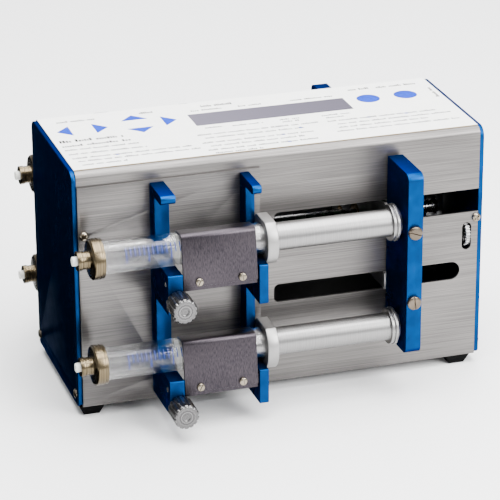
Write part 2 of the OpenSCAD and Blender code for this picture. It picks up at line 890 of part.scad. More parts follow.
motor_shaft_r = 2.5;
module motor_pinion() {
    half_tooth = 180 / pinion_teeth;
    color("goldenrod") translate([0, 0, motor_z]) {
        translate([gear_x, 0, 0]) rotate([half_tooth, 0, 0])
            spur_gear(pinion_teeth, motor_shaft_r);
        rod_x(bulkhead_x - 2, motor_shaft_r, gear_x + gear_w + 2 - bulkhead_x);
    }
}

module drive_motor() {
    color(DARK) difference() {
        translate([bulkhead_x - motor_l, -motor_s / 2, motor_z - motor_s / 2])
            cube([motor_l, motor_s, motor_s]);
        translate([0, 0, motor_z]) rod_x(bulkhead_x - 3, motor_shaft_r + run_gap, 3 + eps);
    }
}

module drive_bulkhead() {
    h = screw_z + bearing_r + 4 - base_z - sheet_t;
    half_d = body_d / 2 - sheet_t - 3;
    color(STEEL) difference() {
        translate([bulkhead_x, -half_d, base_z + sheet_t]) cube([bulkhead_t, 2 * half_d, h]);
        translate([0, 0, screw_z]) rod_x(bulkhead_x - eps, bearing_r, bulkhead_t + 2 * eps);
        translate([0, 0, motor_z]) rod_x(bulkhead_x - eps, 11, bulkhead_t + 2 * eps);
        for (y = [-guide_y, guide_y])
            translate([0, y, guide_z]) rod_x(bulkhead_x - eps, guide_r, bulkhead_t + 2 * eps);
    }
}

module screw_bearings() {
    color(STEEL) translate([0, 0, screw_z])
        for (x = [bulkhead_x, end_block_x + 1]) difference() {
            rod_x(x, bearing_r, bearing_w);
            rod_x(x - eps, screw_r + run_gap, bearing_w + 2 * eps);
        }
}

module end_bearing_block() {
    w = right_x - end_plate_t - end_block_x;
    half = bearing_r + 4;
    color(ALUMINIUM) difference() {
        translate([end_block_x, -half, screw_z - half]) cube([w, 2 * half, 2 * half]);
        translate([0, 0, screw_z]) {
            rod_x(end_block_x + 1, bearing_r, w);
            rod_x(end_block_x - eps, screw_r + 1, w);
        }
    }
}

module guide_rods() {
    l = right_x - end_plate_t - bulkhead_x;
    color(STEEL) for (y = [-guide_y, guide_y]) translate([0, y, guide_z]) rod_x(bulkhead_x, guide_r, l);
}

module trim_wheel_bracket() {
    plate_x = right_x - end_plate_t - 2;
    head_x = trim_x - 1.8;
    color(STEEL) {
        translate([plate_x, trim_y - 5, trim_z - 8]) cube([2, 13, 16]);
        translate([0, trim_y, trim_z]) {
            rod_x(head_x, trim_axle_r, plate_x - head_x + eps);
            rod_x(head_x, trim_axle_r + 1.2, 1.4);
            rod_x(trim_x + trim_w + 0.4, trim_axle_r + 1.2, plate_x - trim_x - trim_w - 0.4 + eps);
        }
    }
}

module trim_wheel() {
    color(ALUMINIUM) translate([trim_x, trim_y, trim_z]) difference() {
        rod_x(0, trim_r, trim_w);
        rod_x(-eps, trim_axle_r + run_gap, trim_w + 2 * eps);
        for (i = [0:23]) rotate([i * 15, 0, 0])
            translate([0, trim_r + 0.2, 0]) rod_x(-eps, 0.6, trim_w + 2 * eps, 16);
    }
}

module power_inlet() {
    color("black") translate([0, inlet_y, inlet_z]) difference() {
        union() {
            rod_x(right_x - 12, inlet_r, 12);
            rod_x(right_x, inlet_r + 2, 2);
        }
        rod_x(right_x - 8, inlet_bore_r, 10 + eps);
    }
}

// Pan-head screws through the end plates into the base's lugs, and through the wall sheet
pan_r = 2.6;
pan_h = 1.6;
panel_screw_r = 1.1;
panel_screw_l = 4;
panel_spots = [[left_x + 5.6, base_z + 103.2, mount_t], [right_x - 3.7, base_z + 85.5, 0]];

module panel_screw_holes() {
    for (spot = panel_spots)
        translate([spot.x, wall_y - mount_t - eps, spot.y]) rod_y(panel_screw_r, mount_t + panel_screw_l);
}

module case_screws() {
    color(NICKEL) {
        for (y = [-end_screw_y, end_screw_y]) translate([0, y, end_screw_z]) {
            rod_x(left_x - pan_h, pan_r, pan_h, 32);
            rod_x(left_x - eps, end_screw_r, 8, small_fn);
            rod_x(right_x, pan_r, pan_h, 32);
            rod_x(right_x - 8 + eps, end_screw_r, 8, small_fn);
        }
        both_sides() for (spot = panel_spots) translate([spot.x, wall_y - spot.z, spot.y]) {
            translate([0, -pan_h, 0]) rod_y(pan_r, pan_h, 32);
            translate([0, -eps, 0]) rod_y(panel_screw_r, spot.z + panel_screw_l - 1.5);
        }
    }
}

// Screws from inside the casing that hold the four holders on
holder_screw_r = 1.5;
holder_screw_in = 7;
holder_screw_head_r = 2.8;
holder_screw_head_h = 2;
holder_screw_x = [left_holder_x + left_holder_w / 2, right_holder_x + right_holder_w / 2];
holder_screw_z = [lower_block_z + 10, seats[UPPER] - upper_block_h / 2];

module holder_screw_holes() {
    for (x = holder_screw_x, z = holder_screw_z)
        translate([x, mount_y - holder_screw_in, z])
            rod_y(holder_screw_r, holder_screw_in + mount_t + sheet_t + eps);
}

module holder_screws() {
    color(NICKEL) both_sides() for (x = holder_screw_x, z = holder_screw_z)
        translate([x, mount_y - holder_screw_in, z]) {
            rod_y(holder_screw_r, holder_screw_in + mount_t + sheet_t + eps);
            translate([0, holder_screw_in + mount_t + sheet_t, 0])
                rod_y(holder_screw_head_r, holder_screw_head_h, small_fn);
        }
}

place() left_end_plate();
place() right_end_plate();
place() casing_shell();
place() base_plate();
place() mounting_plates();
place() rubber_feet();
place() label_overlay();
place() display_window();
place() display_module();
place() control_board();
place() drive_motor();
place() drive_bulkhead();
place() screw_bearings();
place() end_bearing_block();
place() guide_rods();
place() trim_wheel_bracket();
place() power_inlet();
place() front_left_holder();
place() front_right_holder();
place() rear_left_holder();
place() rear_right_holder();
place() hinge_pins();
place() case_screws();
place() holder_screws();
place() syringe_barrels();
place() nozzle_caps();
place() nozzle_tips();
place() barrel_collars();
place() carriage();
place() nut_and_bushes();
place() front_pusher();
place() rear_pusher();
place() pusher_screws();
place() lead_screw();
place() driven_gear();
place() motor_pinion();
place() plunger_front_upper();
place() plunger_front_lower();
place() plunger_rear_upper();
place() plunger_rear_lower();
place() seal_front_upper();
place() seal_front_lower();
place() seal_rear_upper();
place() seal_rear_lower();
place() retainer_front_upper();
place() retainer_front_lower();
place() retainer_rear_upper();
place() retainer_rear_lower();
place() knob_front_upper();
place() knob_front_lower();
place() knob_rear_upper();
place() knob_rear_lower();
place() rewind_key();
place() advance_key();
place() up_key();
place() down_key();
place() next_key();
place() reset_key();
place() start_key();
place() trim_wheel();
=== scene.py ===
"""Four-channel syringe pump: finishes, detailed pieces and a small studio round the frame.

The frame gives every place. A piece that the frame already shapes well is copied, its loose
triangles are merged, and its edges are broken. Turned, printed and repeated pieces are made anew.
All sizes are in millimetres until a mesh is made, and all meshes are in metres.
"""
from __future__ import annotations

import json
import logging
import math
import random
from dataclasses import dataclass
from enum import Enum
from typing import Any, Iterable, Sequence

import bmesh
import bpy
from mathutils import Matrix, Vector


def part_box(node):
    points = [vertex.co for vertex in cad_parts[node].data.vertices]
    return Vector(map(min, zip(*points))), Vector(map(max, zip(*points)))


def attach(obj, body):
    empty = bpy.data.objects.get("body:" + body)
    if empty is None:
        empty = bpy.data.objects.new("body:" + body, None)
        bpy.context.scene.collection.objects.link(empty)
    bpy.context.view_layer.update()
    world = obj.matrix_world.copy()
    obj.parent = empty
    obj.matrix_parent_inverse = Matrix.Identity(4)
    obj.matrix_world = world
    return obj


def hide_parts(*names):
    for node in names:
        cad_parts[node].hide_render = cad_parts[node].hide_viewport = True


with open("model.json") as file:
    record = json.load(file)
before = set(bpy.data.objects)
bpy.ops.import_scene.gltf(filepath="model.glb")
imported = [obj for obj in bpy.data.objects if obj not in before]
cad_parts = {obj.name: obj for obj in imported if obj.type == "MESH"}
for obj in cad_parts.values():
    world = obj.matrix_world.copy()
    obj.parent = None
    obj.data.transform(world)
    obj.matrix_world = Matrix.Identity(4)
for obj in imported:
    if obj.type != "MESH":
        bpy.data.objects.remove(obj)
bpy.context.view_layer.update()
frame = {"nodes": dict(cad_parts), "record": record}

LOG = logging.getLogger("syringe_pump")
MM = 0.001
SEED = 7
CHASSIS = "chassis"
CARRIAGE = "carriage"


class Axis(Enum):
    """A row axis."""

    X = 0
    Y = 1
    Z = 2


class Wall(Enum):
    """The long walls of the case; the value is the sign of Y outside the wall."""

    FRONT = -1
    REAR = 1


class Level(Enum):
    """The two heights at which syringes lie."""

    UPPER = "upper"
    LOWER = "lower"


# ---------------------------------------------------------------------------
# Colour and shader helpers
# ---------------------------------------------------------------------------


def linear(hex_colour: str) -> tuple[float, float, float, float]:
    """Turns an sRGB hex colour into a linear one.

    Args:
        hex_colour: The colour, such as "#1F5F9F".

    Returns:
        Linear red, green, blue and an alpha of one.
    """
    parts = [int(hex_colour[i : i + 2], 16) / 255 for i in (1, 3, 5)]
    red, green, blue = (
        c / 12.92 if c <= 0.04045 else ((c + 0.055) / 1.055) ** 2.4 for c in parts
    )
    return red, green, blue, 1.0


def add_node(
    tree: bpy.types.NodeTree,
    kind: str,
    inputs: dict[str | int, Any] | None = None,
    stops: Sequence[tuple[float, tuple[float, ...]]] = (),
    **settings: Any,
) -> bpy.types.Node:
    """Adds a node, sets its properties, and fills or links its inputs.

    Args:
        tree: The tree that gets the node.
        kind: The node's type name.
        inputs: Values or sockets by input name or number.
        stops: Positions and colours of a colour ramp, lowest first.
        **settings: Properties of the node.

    Returns:
        The new node.
    """
    node = tree.nodes.new(kind)
    for name, value in settings.items():
        setattr(node, name, value)
    for key, value in (inputs or {}).items():
        socket = node.inputs[key]
        if isinstance(value, bpy.types.NodeSocket):
            tree.links.new(value, socket)
        else:
            socket.default_value = value
    for index, (position, colour) in enumerate(stops):
        elements = node.color_ramp.elements
        element = elements[index] if index < len(elements) else elements.new(position)
        element.position, element.color = position, colour
    return node


def grey(value: float) -> tuple[float, float, float, float]:
    """Returns a linear grey of this value."""
    return value, value, value, 1.0


def stretched_noise(
    tree: bpy.types.NodeTree,
    coords: bpy.types.NodeSocket,
    grain_mm: Sequence[float],
    detail: float = 3.0,
) -> bpy.types.NodeSocket:
    """Adds noise whose features have a real size along each axis.

    Args:
        tree: The tree that gets the nodes.
        coords: Object coordinates, in metres.
        grain_mm: Feature size along X, Y and Z.
        detail: Octaves of the noise.

    Returns:
        The noise value, about 0.25 to 0.75.
    """
    scale = [1 / (g * MM) for g in grain_mm]
    mapping = add_node(tree, "ShaderNodeMapping", {"Vector": coords, "Scale": scale})
    noise = add_node(
        tree,
        "ShaderNodeTexNoise",
        {"Vector": mapping.outputs["Vector"], "Scale": 1.0, "Detail": detail, "Roughness": 0.6},
    )
    return noise.outputs["Fac"]


@dataclass(frozen=True)
class Finish:
    """A surface finish; each kind says in shade() what its nodes are.

    Attributes:
        name: The material's name.
        colour: Base colour as sRGB hex.
        roughness: Mean roughness.
    """

    name: str
    colour: str
    roughness: float = 0.4

    def material(self) -> bpy.types.Material:
        """Makes the material once, and returns it on every call."""
        made = bpy.data.materials.get(self.name)
        if made is None:
            made = bpy.data.materials.new(self.name)
            made.use_nodes = True
            made.diffuse_color = linear(self.colour)
            tree = made.node_tree
            shader = tree.nodes["Principled BSDF"]
            shader.inputs["Base Color"].default_value = linear(self.colour)
            shader.inputs["Roughness"].default_value = self.roughness
            self.shade(tree, shader)
        return made

    def shade(self, tree: bpy.types.NodeTree, shader: bpy.types.Node) -> None:
        """Adds this finish's nodes to a fresh tree.

        Args:
            tree: The material's tree.
            shader: Its Principled node.
        """
        raise NotImplementedError


@dataclass(frozen=True)
class BrushedSteel(Finish):
    """Stainless sheet brushed on a belt: long fine scratches along one axis.

    The scratches break a reflection up across the brushing, and catch light as pale streaks.

    Attributes:
        streak_colour: Colour of the paler streaks.
        along: The axis the scratches run along.
        grain_mm: Spacing of the scratches; drawn coarser than the real 0.1 mm so that it shows.
        streak_mm: Length of a scratch.
        depth_mm: Depth of the scratches.
        shade_inside: Whether faces inside the case get a painted shade: near-black and not
            metallic.
        sheet_mm: Thickness of the case's sheet.
    """

    streak_colour: str = "#767371"
    along: Axis = Axis.X
    grain_mm: float = 0.3
    streak_mm: float = 45.0
    depth_mm: float = 0.004
    shade_inside: bool = False
    sheet_mm: float = 1.5

    def shade(self, tree: bpy.types.NodeTree, shader: bpy.types.Node) -> None:
        """Adds the brushing, a slow drift in tone, and, where asked, a painted shade inside the
        case that is near-black and not metallic.

        Args:
            tree: The material's tree.
            shader: Its Principled node.
        """
        coords = add_node(tree, "ShaderNodeTexCoord").outputs["Object"]
        size = [self.grain_mm] * 3
        size[self.along.value] = self.streak_mm
        fine = stretched_noise(tree, coords, size, 4.0)
        slow = stretched_noise(tree, coords, [60.0, 40.0, 35.0], 1.0)
        both = add_node(
            tree, "ShaderNodeMath", {0: slow, 1: 0.35, 2: fine}, operation="MULTIPLY_ADD"
        )
        colour = add_node(
            tree,
            "ShaderNodeValToRGB",
            {"Fac": both.outputs[0]},
            stops=[(0.50, linear(self.colour)), (0.86, linear(self.streak_colour))],
        ).outputs["Color"]
        rough = add_node(
            tree,
            "ShaderNodeValToRGB",
            {"Fac": fine},
            stops=[(0.30, grey(self.roughness + 0.04)), (0.70, grey(self.roughness - 0.04))],
        ).outputs["Color"]
        shader.inputs["Metallic"].default_value = 1.0
        # Painted shade: faces inside the case turn near-black (#060607) and lose their metal,
        # standing in for the shade that falls inside.
        if self.shade_inside:
            inside = self._inside(tree, coords)
            paint = add_node(
                tree,
                "ShaderNodeMix",
                {"Factor": inside, 6: colour, 7: linear("#060607")},
                data_type="RGBA",
            )
            colour = paint.outputs[2]
            metal = add_node(tree, "ShaderNodeMath", {0: 1.0, 1: inside}, operation="SUBTRACT")
            tree.links.new(metal.outputs[0], shader.inputs["Metallic"])
        tree.links.new(colour, shader.inputs["Base Color"])
        tree.links.new(rough, shader.inputs["Roughness"])
        bump = add_node(tree, "ShaderNodeBump", {"Height": fine, "Distance": self.depth_mm * MM})
        tree.links.new(bump.outputs["Normal"], shader.inputs["Normal"])

    def _inside(
        self, tree: bpy.types.NodeTree, coords: bpy.types.NodeSocket
    ) -> bpy.types.NodeSocket:
        """Marks the inner faces of the case.

        Args:
            tree: The material's tree.
            coords: Object coordinates.

        Returns:
            One inside the case's sheet and zero on its outer faces.
        """
        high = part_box("casing_shell")[1]
        sheet = self.sheet_mm * MM
        split = add_node(tree, "ShaderNodeSeparateXYZ", {0: coords})
        depth = add_node(tree, "ShaderNodeMath", {0: split.outputs["Y"]}, operation="ABSOLUTE")
        near_middle = add_node(
            tree,
            "ShaderNodeMath",
            {0: depth.outputs[0], 1: high.y - 0.9 * sheet},
            operation="LESS_THAN",
        )
        below_top = add_node(
            tree,
            "ShaderNodeMath",
            {0: split.outputs["Z"], 1: high.z - 0.9 * sheet},
            operation="LESS_THAN",
        )
        both = add_node(
            tree,
            "ShaderNodeMath",
            {0: near_middle.outputs[0], 1: below_top.outputs[0]},
            operation="MULTIPLY",
        )
        return both.outputs[0]


@dataclass(frozen=True)
class SatinMetal(Finish):
    """Blasted, ground or plated metal: one even colour, a satin sheen and tiny dimples.

    Attributes:
        worn_colour: Colour of the faint paler mottling.
        edge_tint: Colour of a glancing reflection, deeper where an oxide film is dyed.
        bead_mm: Size of the blasted dimples.
        depth_mm: Depth of the dimples.
    """

    worn_colour: str = "#05376C"
    edge_tint: str = "#FFFFFF"
    bead_mm: float = 0.35
    depth_mm: float = 0.004

    def shade(self, tree: bpy.types.NodeTree, shader: bpy.types.Node) -> None:
        """Adds mottled dye, uneven gloss and blasted dimples.

        Args:
            tree: The material's tree.
            shader: Its Principled node.
        """
        coords = add_node(tree, "ShaderNodeTexCoord").outputs["Object"]
        beads = stretched_noise(tree, coords, [self.bead_mm] * 3, 2.0)
        slow = stretched_noise(tree, coords, [14.0, 14.0, 14.0], 2.0)
        colour = add_node(
            tree,
            "ShaderNodeValToRGB",
            {"Fac": slow},
            stops=[(0.35, linear(self.colour)), (0.70, linear(self.worn_colour))],
        ).outputs["Color"]
        rough = add_node(
            tree,
            "ShaderNodeValToRGB",
            {"Fac": slow},
            stops=[(0.35, grey(self.roughness + 0.04)), (0.65, grey(self.roughness - 0.04))],
        ).outputs["Color"]
        shader.inputs["Metallic"].default_value = 1.0
        shader.inputs["Specular Tint"].default_value = linear(self.edge_tint)
        tree.links.new(colour, shader.inputs["Base Color"])
        tree.links.new(rough, shader.inputs["Roughness"])
        bump = add_node(tree, "ShaderNodeBump", {"Height": beads, "Distance": self.depth_mm * MM})
        tree.links.new(bump.outputs["Normal"], shader.inputs["Normal"])


@dataclass(frozen=True)
class TurnedMetal(Finish):
    """Bar turned on a lathe: fine rings round the axis, read along the profile's own UV.

    Attributes:
        ring_colour: Colour of the paler rings.
        ring_mm: Spacing of the tool marks.
        depth_mm: Depth of the tool marks.
    """

    ring_colour: str = "#E4E2DF"
    ring_mm: float = 0.5
    depth_mm: float = 0.010

    def shade(self, tree: bpy.types.NodeTree, shader: bpy.types.Node) -> None:
        """Adds tool marks that close on themselves round the part.

        Args:
            tree: The material's tree.
            shader: Its Principled node.
        """
        uv = add_node(tree, "ShaderNodeTexCoord").outputs["UV"]
        split = add_node(tree, "ShaderNodeSeparateXYZ", {0: uv})
        along = add_node(tree, "ShaderNodeCombineXYZ", {0: split.outputs["X"]})
        rings = add_node(
            tree,
            "ShaderNodeTexNoise",
            {"Vector": along.outputs[0], "Scale": 1 / self.ring_mm, "Detail": 2.0},
        )
        tone = rings.outputs["Fac"]
        colour = add_node(
            tree,
            "ShaderNodeValToRGB",
            {"Fac": tone},
            stops=[(0.35, linear(self.colour)), (0.65, linear(self.ring_colour))],
        ).outputs["Color"]
        rough = add_node(
            tree,
            "ShaderNodeValToRGB",
            {"Fac": tone},
            stops=[(0.35, grey(self.roughness + 0.05)), (0.65, grey(self.roughness - 0.05))],
        ).outputs["Color"]
        shader.inputs["Metallic"].default_value = 1.0
        tree.links.new(colour, shader.inputs["Base Color"])
        tree.links.new(rough, shader.inputs["Roughness"])
        bump = add_node(tree, "ShaderNodeBump", {"Height": tone, "Distance": self.depth_mm * MM})
        tree.links.new(bump.outputs["Normal"], shader.inputs["Normal"])


@dataclass(frozen=True)
class CastPlastic(Finish):
    """Moulded or coated plastic: one colour, faint grain, no metal.

    Attributes:
        shade_colour: Colour in the grain's low places.
        grain_mm: Size of the grain.
        depth_mm: Depth of the grain.
        coat: Strength of a clear gloss layer.
        sheen: Strength of the surface's own reflection; matt print and rubber have little.
    """

    shade_colour: str = "#101012"
    grain_mm: float = 0.6
    depth_mm: float = 0.02
    coat: float = 0.0
    sheen: float = 0.3

    def shade(self, tree: bpy.types.NodeTree, shader: bpy.types.Node) -> None:
        """Adds the grain in colour, gloss and height.

        Args:
            tree: The material's tree.
            shader: Its Principled node.
        """
        coords = add_node(tree, "ShaderNodeTexCoord").outputs["Object"]
        grain = stretched_noise(tree, coords, [self.grain_mm] * 3, 2.0)
        colour = add_node(
            tree,
            "ShaderNodeValToRGB",
            {"Fac": grain},
            stops=[(0.38, linear(self.shade_colour)), (0.58, linear(self.colour))],
        ).outputs["Color"]
        rough = add_node(
            tree,
            "ShaderNodeValToRGB",
            {"Fac": grain},
            stops=[(0.30, grey(self.roughness + 0.06)), (0.70, grey(self.roughness - 0.06))],
        ).outputs["Color"]
        shader.inputs["Specular IOR Level"].default_value = self.sheen
        shader.inputs["Coat Weight"].default_value = self.coat
        shader.inputs["Coat Roughness"].default_value = 0.08
        tree.links.new(colour, shader.inputs["Base Color"])
        tree.links.new(rough, shader.inputs["Roughness"])
        bump = add_node(tree, "ShaderNodeBump", {"Height": grain, "Distance": self.depth_mm * MM})
        tree.links.new(bump.outputs["Normal"], shader.inputs["Normal"])


@dataclass(frozen=True)
class LabelFilm(Finish):
    """Polyester label: satin white on top, with a tan line of adhesive and cut film at its edge.

    Attributes:
        edge_colour: Colour of the cut edge.
    """

    edge_colour: str = "#8F7B55"

    def shade(self, tree: bpy.types.NodeTree, shader: bpy.types.Node) -> None:
        """Adds the edge colour by the way a face looks, and a faint unevenness.

        Args:
            tree: The material's tree.
            shader: Its Principled node.
        """
        coords = add_node(tree, "ShaderNodeTexCoord")
        split = add_node(tree, "ShaderNodeSeparateXYZ", {0: coords.outputs["Normal"]})
        top = add_node(
            tree, "ShaderNodeMath", {0: split.outputs["Z"], 1: 0.6}, operation="GREATER_THAN"
        )
        slow = stretched_noise(tree, coords.outputs["Object"], [9.0, 9.0, 9.0], 3.0)
        film = add_node(
            tree,
            "ShaderNodeValToRGB",
            {"Fac": slow},
            stops=[(0.3, linear("#EFEFEC")), (0.7, linear(self.colour))],
        ).outputs["Color"]
        mixed = add_node(
            tree,
            "ShaderNodeMix",
            {"Factor": top.outputs[0], 6: linear(self.edge_colour), 7: film},
            data_type="RGBA",
        )
        tree.links.new(mixed.outputs[2], shader.inputs["Base Color"])
        rough = add_node(
            tree,
            "ShaderNodeValToRGB",
            {"Fac": slow},
            stops=[(0.3, grey(self.roughness + 0.05)), (0.7, grey(self.roughness - 0.05))],
        ).outputs["Color"]
        tree.links.new(rough, shader.inputs["Roughness"])
        bump = add_node(tree, "ShaderNodeBump", {"Height": slow, "Distance": 0.01 * MM})
        tree.links.new(bump.outputs["Normal"], shader.inputs["Normal"])


@dataclass(frozen=True)
class DisplayGlass(Finish):
    """Liquid crystal window: grey-violet, slightly darker towards the drive end, glossy.

    Attributes:
        dark_colour: Colour at the darker end.
        row_mm: Spacing of the faint character rows.
    """

    dark_colour: str = "#5F5C68"
    row_mm: float = 1.9

    def shade(self, tree: bpy.types.NodeTree, shader: bpy.types.Node) -> None:
        """Adds the fade along X and faint rows across it.

        Args:
            tree: The material's tree.
            shader: Its Principled node.
        """
        low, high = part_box("display_window")
        coords = add_node(tree, "ShaderNodeTexCoord").outputs["Object"]
        split = add_node(tree, "ShaderNodeSeparateXYZ", {0: coords})
        along = add_node(
            tree,
            "ShaderNodeMapRange",
            {"Value": split.outputs["X"], "From Min": low.x, "From Max": high.x},
        )
        rows = add_node(
            tree,
            "ShaderNodeMath",
            {0: split.outputs["Y"], 1: 2 * math.pi / (self.row_mm * MM)},
            operation="MULTIPLY",
        )
        wave = add_node(tree, "ShaderNodeMath", {0: rows.outputs[0]}, operation="SINE")
        fade = add_node(
            tree,
            "ShaderNodeMath",
            {0: wave.outputs[0], 1: 0.06, 2: along.outputs[0]},
            operation="MULTIPLY_ADD",
        )
        colour = add_node(
            tree,
            "ShaderNodeValToRGB",
            {"Fac": fade.outputs[0]},
            stops=[(0.0, linear(self.colour)), (1.0, linear(self.dark_colour))],
        ).outputs["Color"]
        tree.links.new(colour, shader.inputs["Base Color"])
        shader.inputs["Specular IOR Level"].default_value = 0.15


@dataclass(frozen=True)
class BarrelGlass(Finish):
    """Drawn borosilicate tube: clear, with faint lengthwise drawing lines.

    Attributes:
        line_mm: Spacing of the drawing lines round the tube.
    """

    line_mm: float = 1.2

    def shade(self, tree: bpy.types.NodeTree, shader: bpy.types.Node) -> None:
        """Adds clear glass with drawing lines a few micrometres deep.

        Args:
            tree: The material's tree.
            shader: Its Principled node.
        """
        shader.inputs["Transmission Weight"].default_value = 1.0
        shader.inputs["IOR"].default_value = 1.47
        shader.inputs["Alpha"].default_value = 0.5
        coords = add_node(tree, "ShaderNodeTexCoord").outputs["Object"]
        lines = stretched_noise(tree, coords, [80.0, self.line_mm, self.line_mm], 1.0)
        bump = add_node(tree, "ShaderNodeBump", {"Height": lines, "Distance": 0.004 * MM})
        tree.links.new(bump.outputs["Normal"], shader.inputs["Normal"])


class Finishes:
    """Every finish on the pump, by what it is on the real one."""

    # Dyed oxide: deep blue, brighter only where an edge catches the light.
    blue = SatinMetal(
        "blue_anodised_aluminium", "#032C58", 0.4, edge_tint="#1C4A80"
    )
    # Belt-brushed stainless: a soft grey with long level scratches, with a near-black painted
    # shade on its inner faces.
    case_steel = BrushedSteel("brushed_case_steel", "#575554", 0.4, shade_inside=True)
    plate_steel = BrushedSteel("brushed_plate_steel", "#555353", 0.4)
    # The retainers are brushed upright, and their steel is drawn darker than the case's as
    # painted shade.
    retainer_steel = BrushedSteel(
        "brushed_retainer_steel", "#2B282D", 0.36, streak_colour="#443F43", along=Axis.Z
    )
    # Centreless-ground bar: even, bright and nearly smooth.
    bright_steel = SatinMetal(
        "ground_steel", "#8C8B8B", 0.25, worn_colour="#989797", bead_mm=0.2, depth_mm=0.002
    )
    # Nickel over brass: a warm shine, with turned rings on the caps.
    nickel = TurnedMetal("nickel_plated_brass", "#463D2F", 0.26, ring_colour="#6F634D")
    screw_nickel = SatinMetal(
        "nickel_plated_screw", "#756D60", 0.26, worn_colour="#8A8173", bead_mm=0.2
    )
    # Undyed oxide: pale and satin.
    aluminium = SatinMetal(
        "clear_anodised_aluminium", "#8E8D8C", 0.42, worn_colour="#9C9B9A"
    )
    # Fine-turned rods: a clean band of light along the top.
    turned_aluminium = TurnedMetal(
        "turned_aluminium", "#7C7B7B", 0.34, ring_colour="#8E8D8C", depth_mm=0.002
    )
    # Coarser rings, plain on the knobs' end faces.
    knob_aluminium = TurnedMetal(
        "knurled_aluminium", "#3C3B3C", 0.3, ring_colour="#737272", ring_mm=0.8
    )
    # Machined brass: yellow and fairly bright.
    brass = SatinMetal(
        "machined_brass", "#7E6230", 0.3, worn_colour="#967C42", bead_mm=0.2, depth_mm=0.003
    )
    # Chemically darkened screw heads: brown-grey with a dull shine.
    screw_steel = SatinMetal(
        "blackened_screw_steel", "#4E463D", 0.34, worn_colour="#655B50", bead_mm=0.25
    )
    # Label, window and print: satin white film, grey glass, matt ink.
    label = LabelFilm("label_film", "#F6F6F3", 0.45)
    display = DisplayGlass("display_glass", "#55515E", 0.25, dark_colour="#46424E")
    key = CastPlastic(
        "blue_key_film", "#0E34A6", 0.6, shade_colour="#0C2F9A", grain_mm=1.5, sheen=0.06
    )
    ink = CastPlastic("black_screen_ink", "#060608", 0.8, shade_colour="#040405", sheen=0.0)
    scale_ink = CastPlastic("blue_fired_ink", "#0F3AA6", 0.4, shade_colour="#0D3290")
    # Clear borosilicate: seen by its edges and the drawing lines in it.
    glass = BarrelGlass("borosilicate_glass", "#FFFFFF", 0.02)
    # Turned PTFE: waxy white.
    ptfe = CastPlastic("white_ptfe", "#D8D8D3", 0.4, shade_colour="#C9C9C3")
    # Moulded rubber and plastics: black with hardly any shine.
    rubber = CastPlastic(
        "moulded_foot_rubber", "#050506", 0.7, shade_colour="#030303", sheen=0.05
    )
    black_plastic = CastPlastic("black_moulded_plastic", "#070708", 0.5, shade_colour="#040405")
    # Inside the case: glossy green mask, black paint, and a dull steel drawn dark grey as painted
    # shade.
    board = CastPlastic("green_solder_mask", "#12401F", 0.4, shade_colour="#0C2C15", coat=0.3)
    motor_paint = CastPlastic("black_motor_paint", "#08080A", 0.45, shade_colour="#050506")
    # Painted shade: this steel is drawn dark grey because it stands in the shade inside the case.
    inner_shaded_steel = BrushedSteel("dull_inner_steel", "#2A2A2A", 0.5, streak_colour="#3A3A3A")


# ---------------------------------------------------------------------------
# Mesh helpers
# ---------------------------------------------------------------------------


def finish_mesh(mesh: bpy.types.Mesh, smooth_degrees: float = 35.0) -> None:
    """Shades a mesh smooth except at edges sharper than an angle.

    Args:
        mesh: The mesh.
        smooth_degrees: The angle.
    """
    mesh.shade_smooth()
    mesh.set_sharp_from_angle(angle=math.radians(smooth_degrees))


def new_object(name: str, mesh: bpy.types.Mesh, finish: Finish | None = None) -> bpy.types.Object:
    """Links a mesh into the scene at the origin.

    Args:
        name: The piece's name.
        mesh: Its mesh, already in place.
        finish: Its finish, or None to keep the mesh's own materials.

    Returns:
        The new object.
    """
    obj = bpy.data.objects.new(name, mesh)
    bpy.context.scene.collection.objects.link(obj)
    if finish is not None:
        mesh.materials.clear()
        mesh.materials.append(finish.material())
    return obj


def evaluated_mesh(obj: bpy.types.Object, name: str) -> bpy.types.Mesh:
    """Turns an object with its modifiers into a plain mesh.

    Args:
        obj: The object.
        name: The new mesh's name.

    Returns:
        The mesh.
    """
    bpy.context.view_layer.update()
    graph = bpy.context.evaluated_depsgraph_get()
    mesh = bpy.data.meshes.new_from_object(obj.evaluated_get(graph), depsgraph=graph)
    mesh.name = name
    return mesh


def drop(obj: bpy.types.Object) -> None:
    """Removes a helper object."""
    bpy.data.objects.remove(obj, do_unlink=True)


def fillet(
    profile: Sequence[tuple[float, float]], radius: float, steps: int = 3
) -> list[tuple[float, float]]:
    """Rounds the corners of an open profile, leaving those on the axis.

    Args:
        profile: Points as (axial, radial), in mm.
        radius: Corner radius, in mm.
        steps: Points on each rounded corner, less one.

    Returns:
        The rounded profile.
    """
    rounded: list[tuple[float, float]] = []
    last = len(profile) - 1
    for i, point in enumerate(profile):
        here = Vector(point)
        if i in (0, last):
            rounded.append(point)
            continue
        before, after = Vector(profile[i - 1]) - here, Vector(profile[i + 1]) - here
        cut = min(radius, before.length * 0.45, after.length * 0.45)
        start, end = here + before.normalized() * cut, here + after.normalized() * cut
        for step in range(steps + 1):
            t = step / steps
            rounded.append(tuple(start * (1 - t) ** 2 + here * 2 * t * (1 - t) + end * t**2))
    return rounded


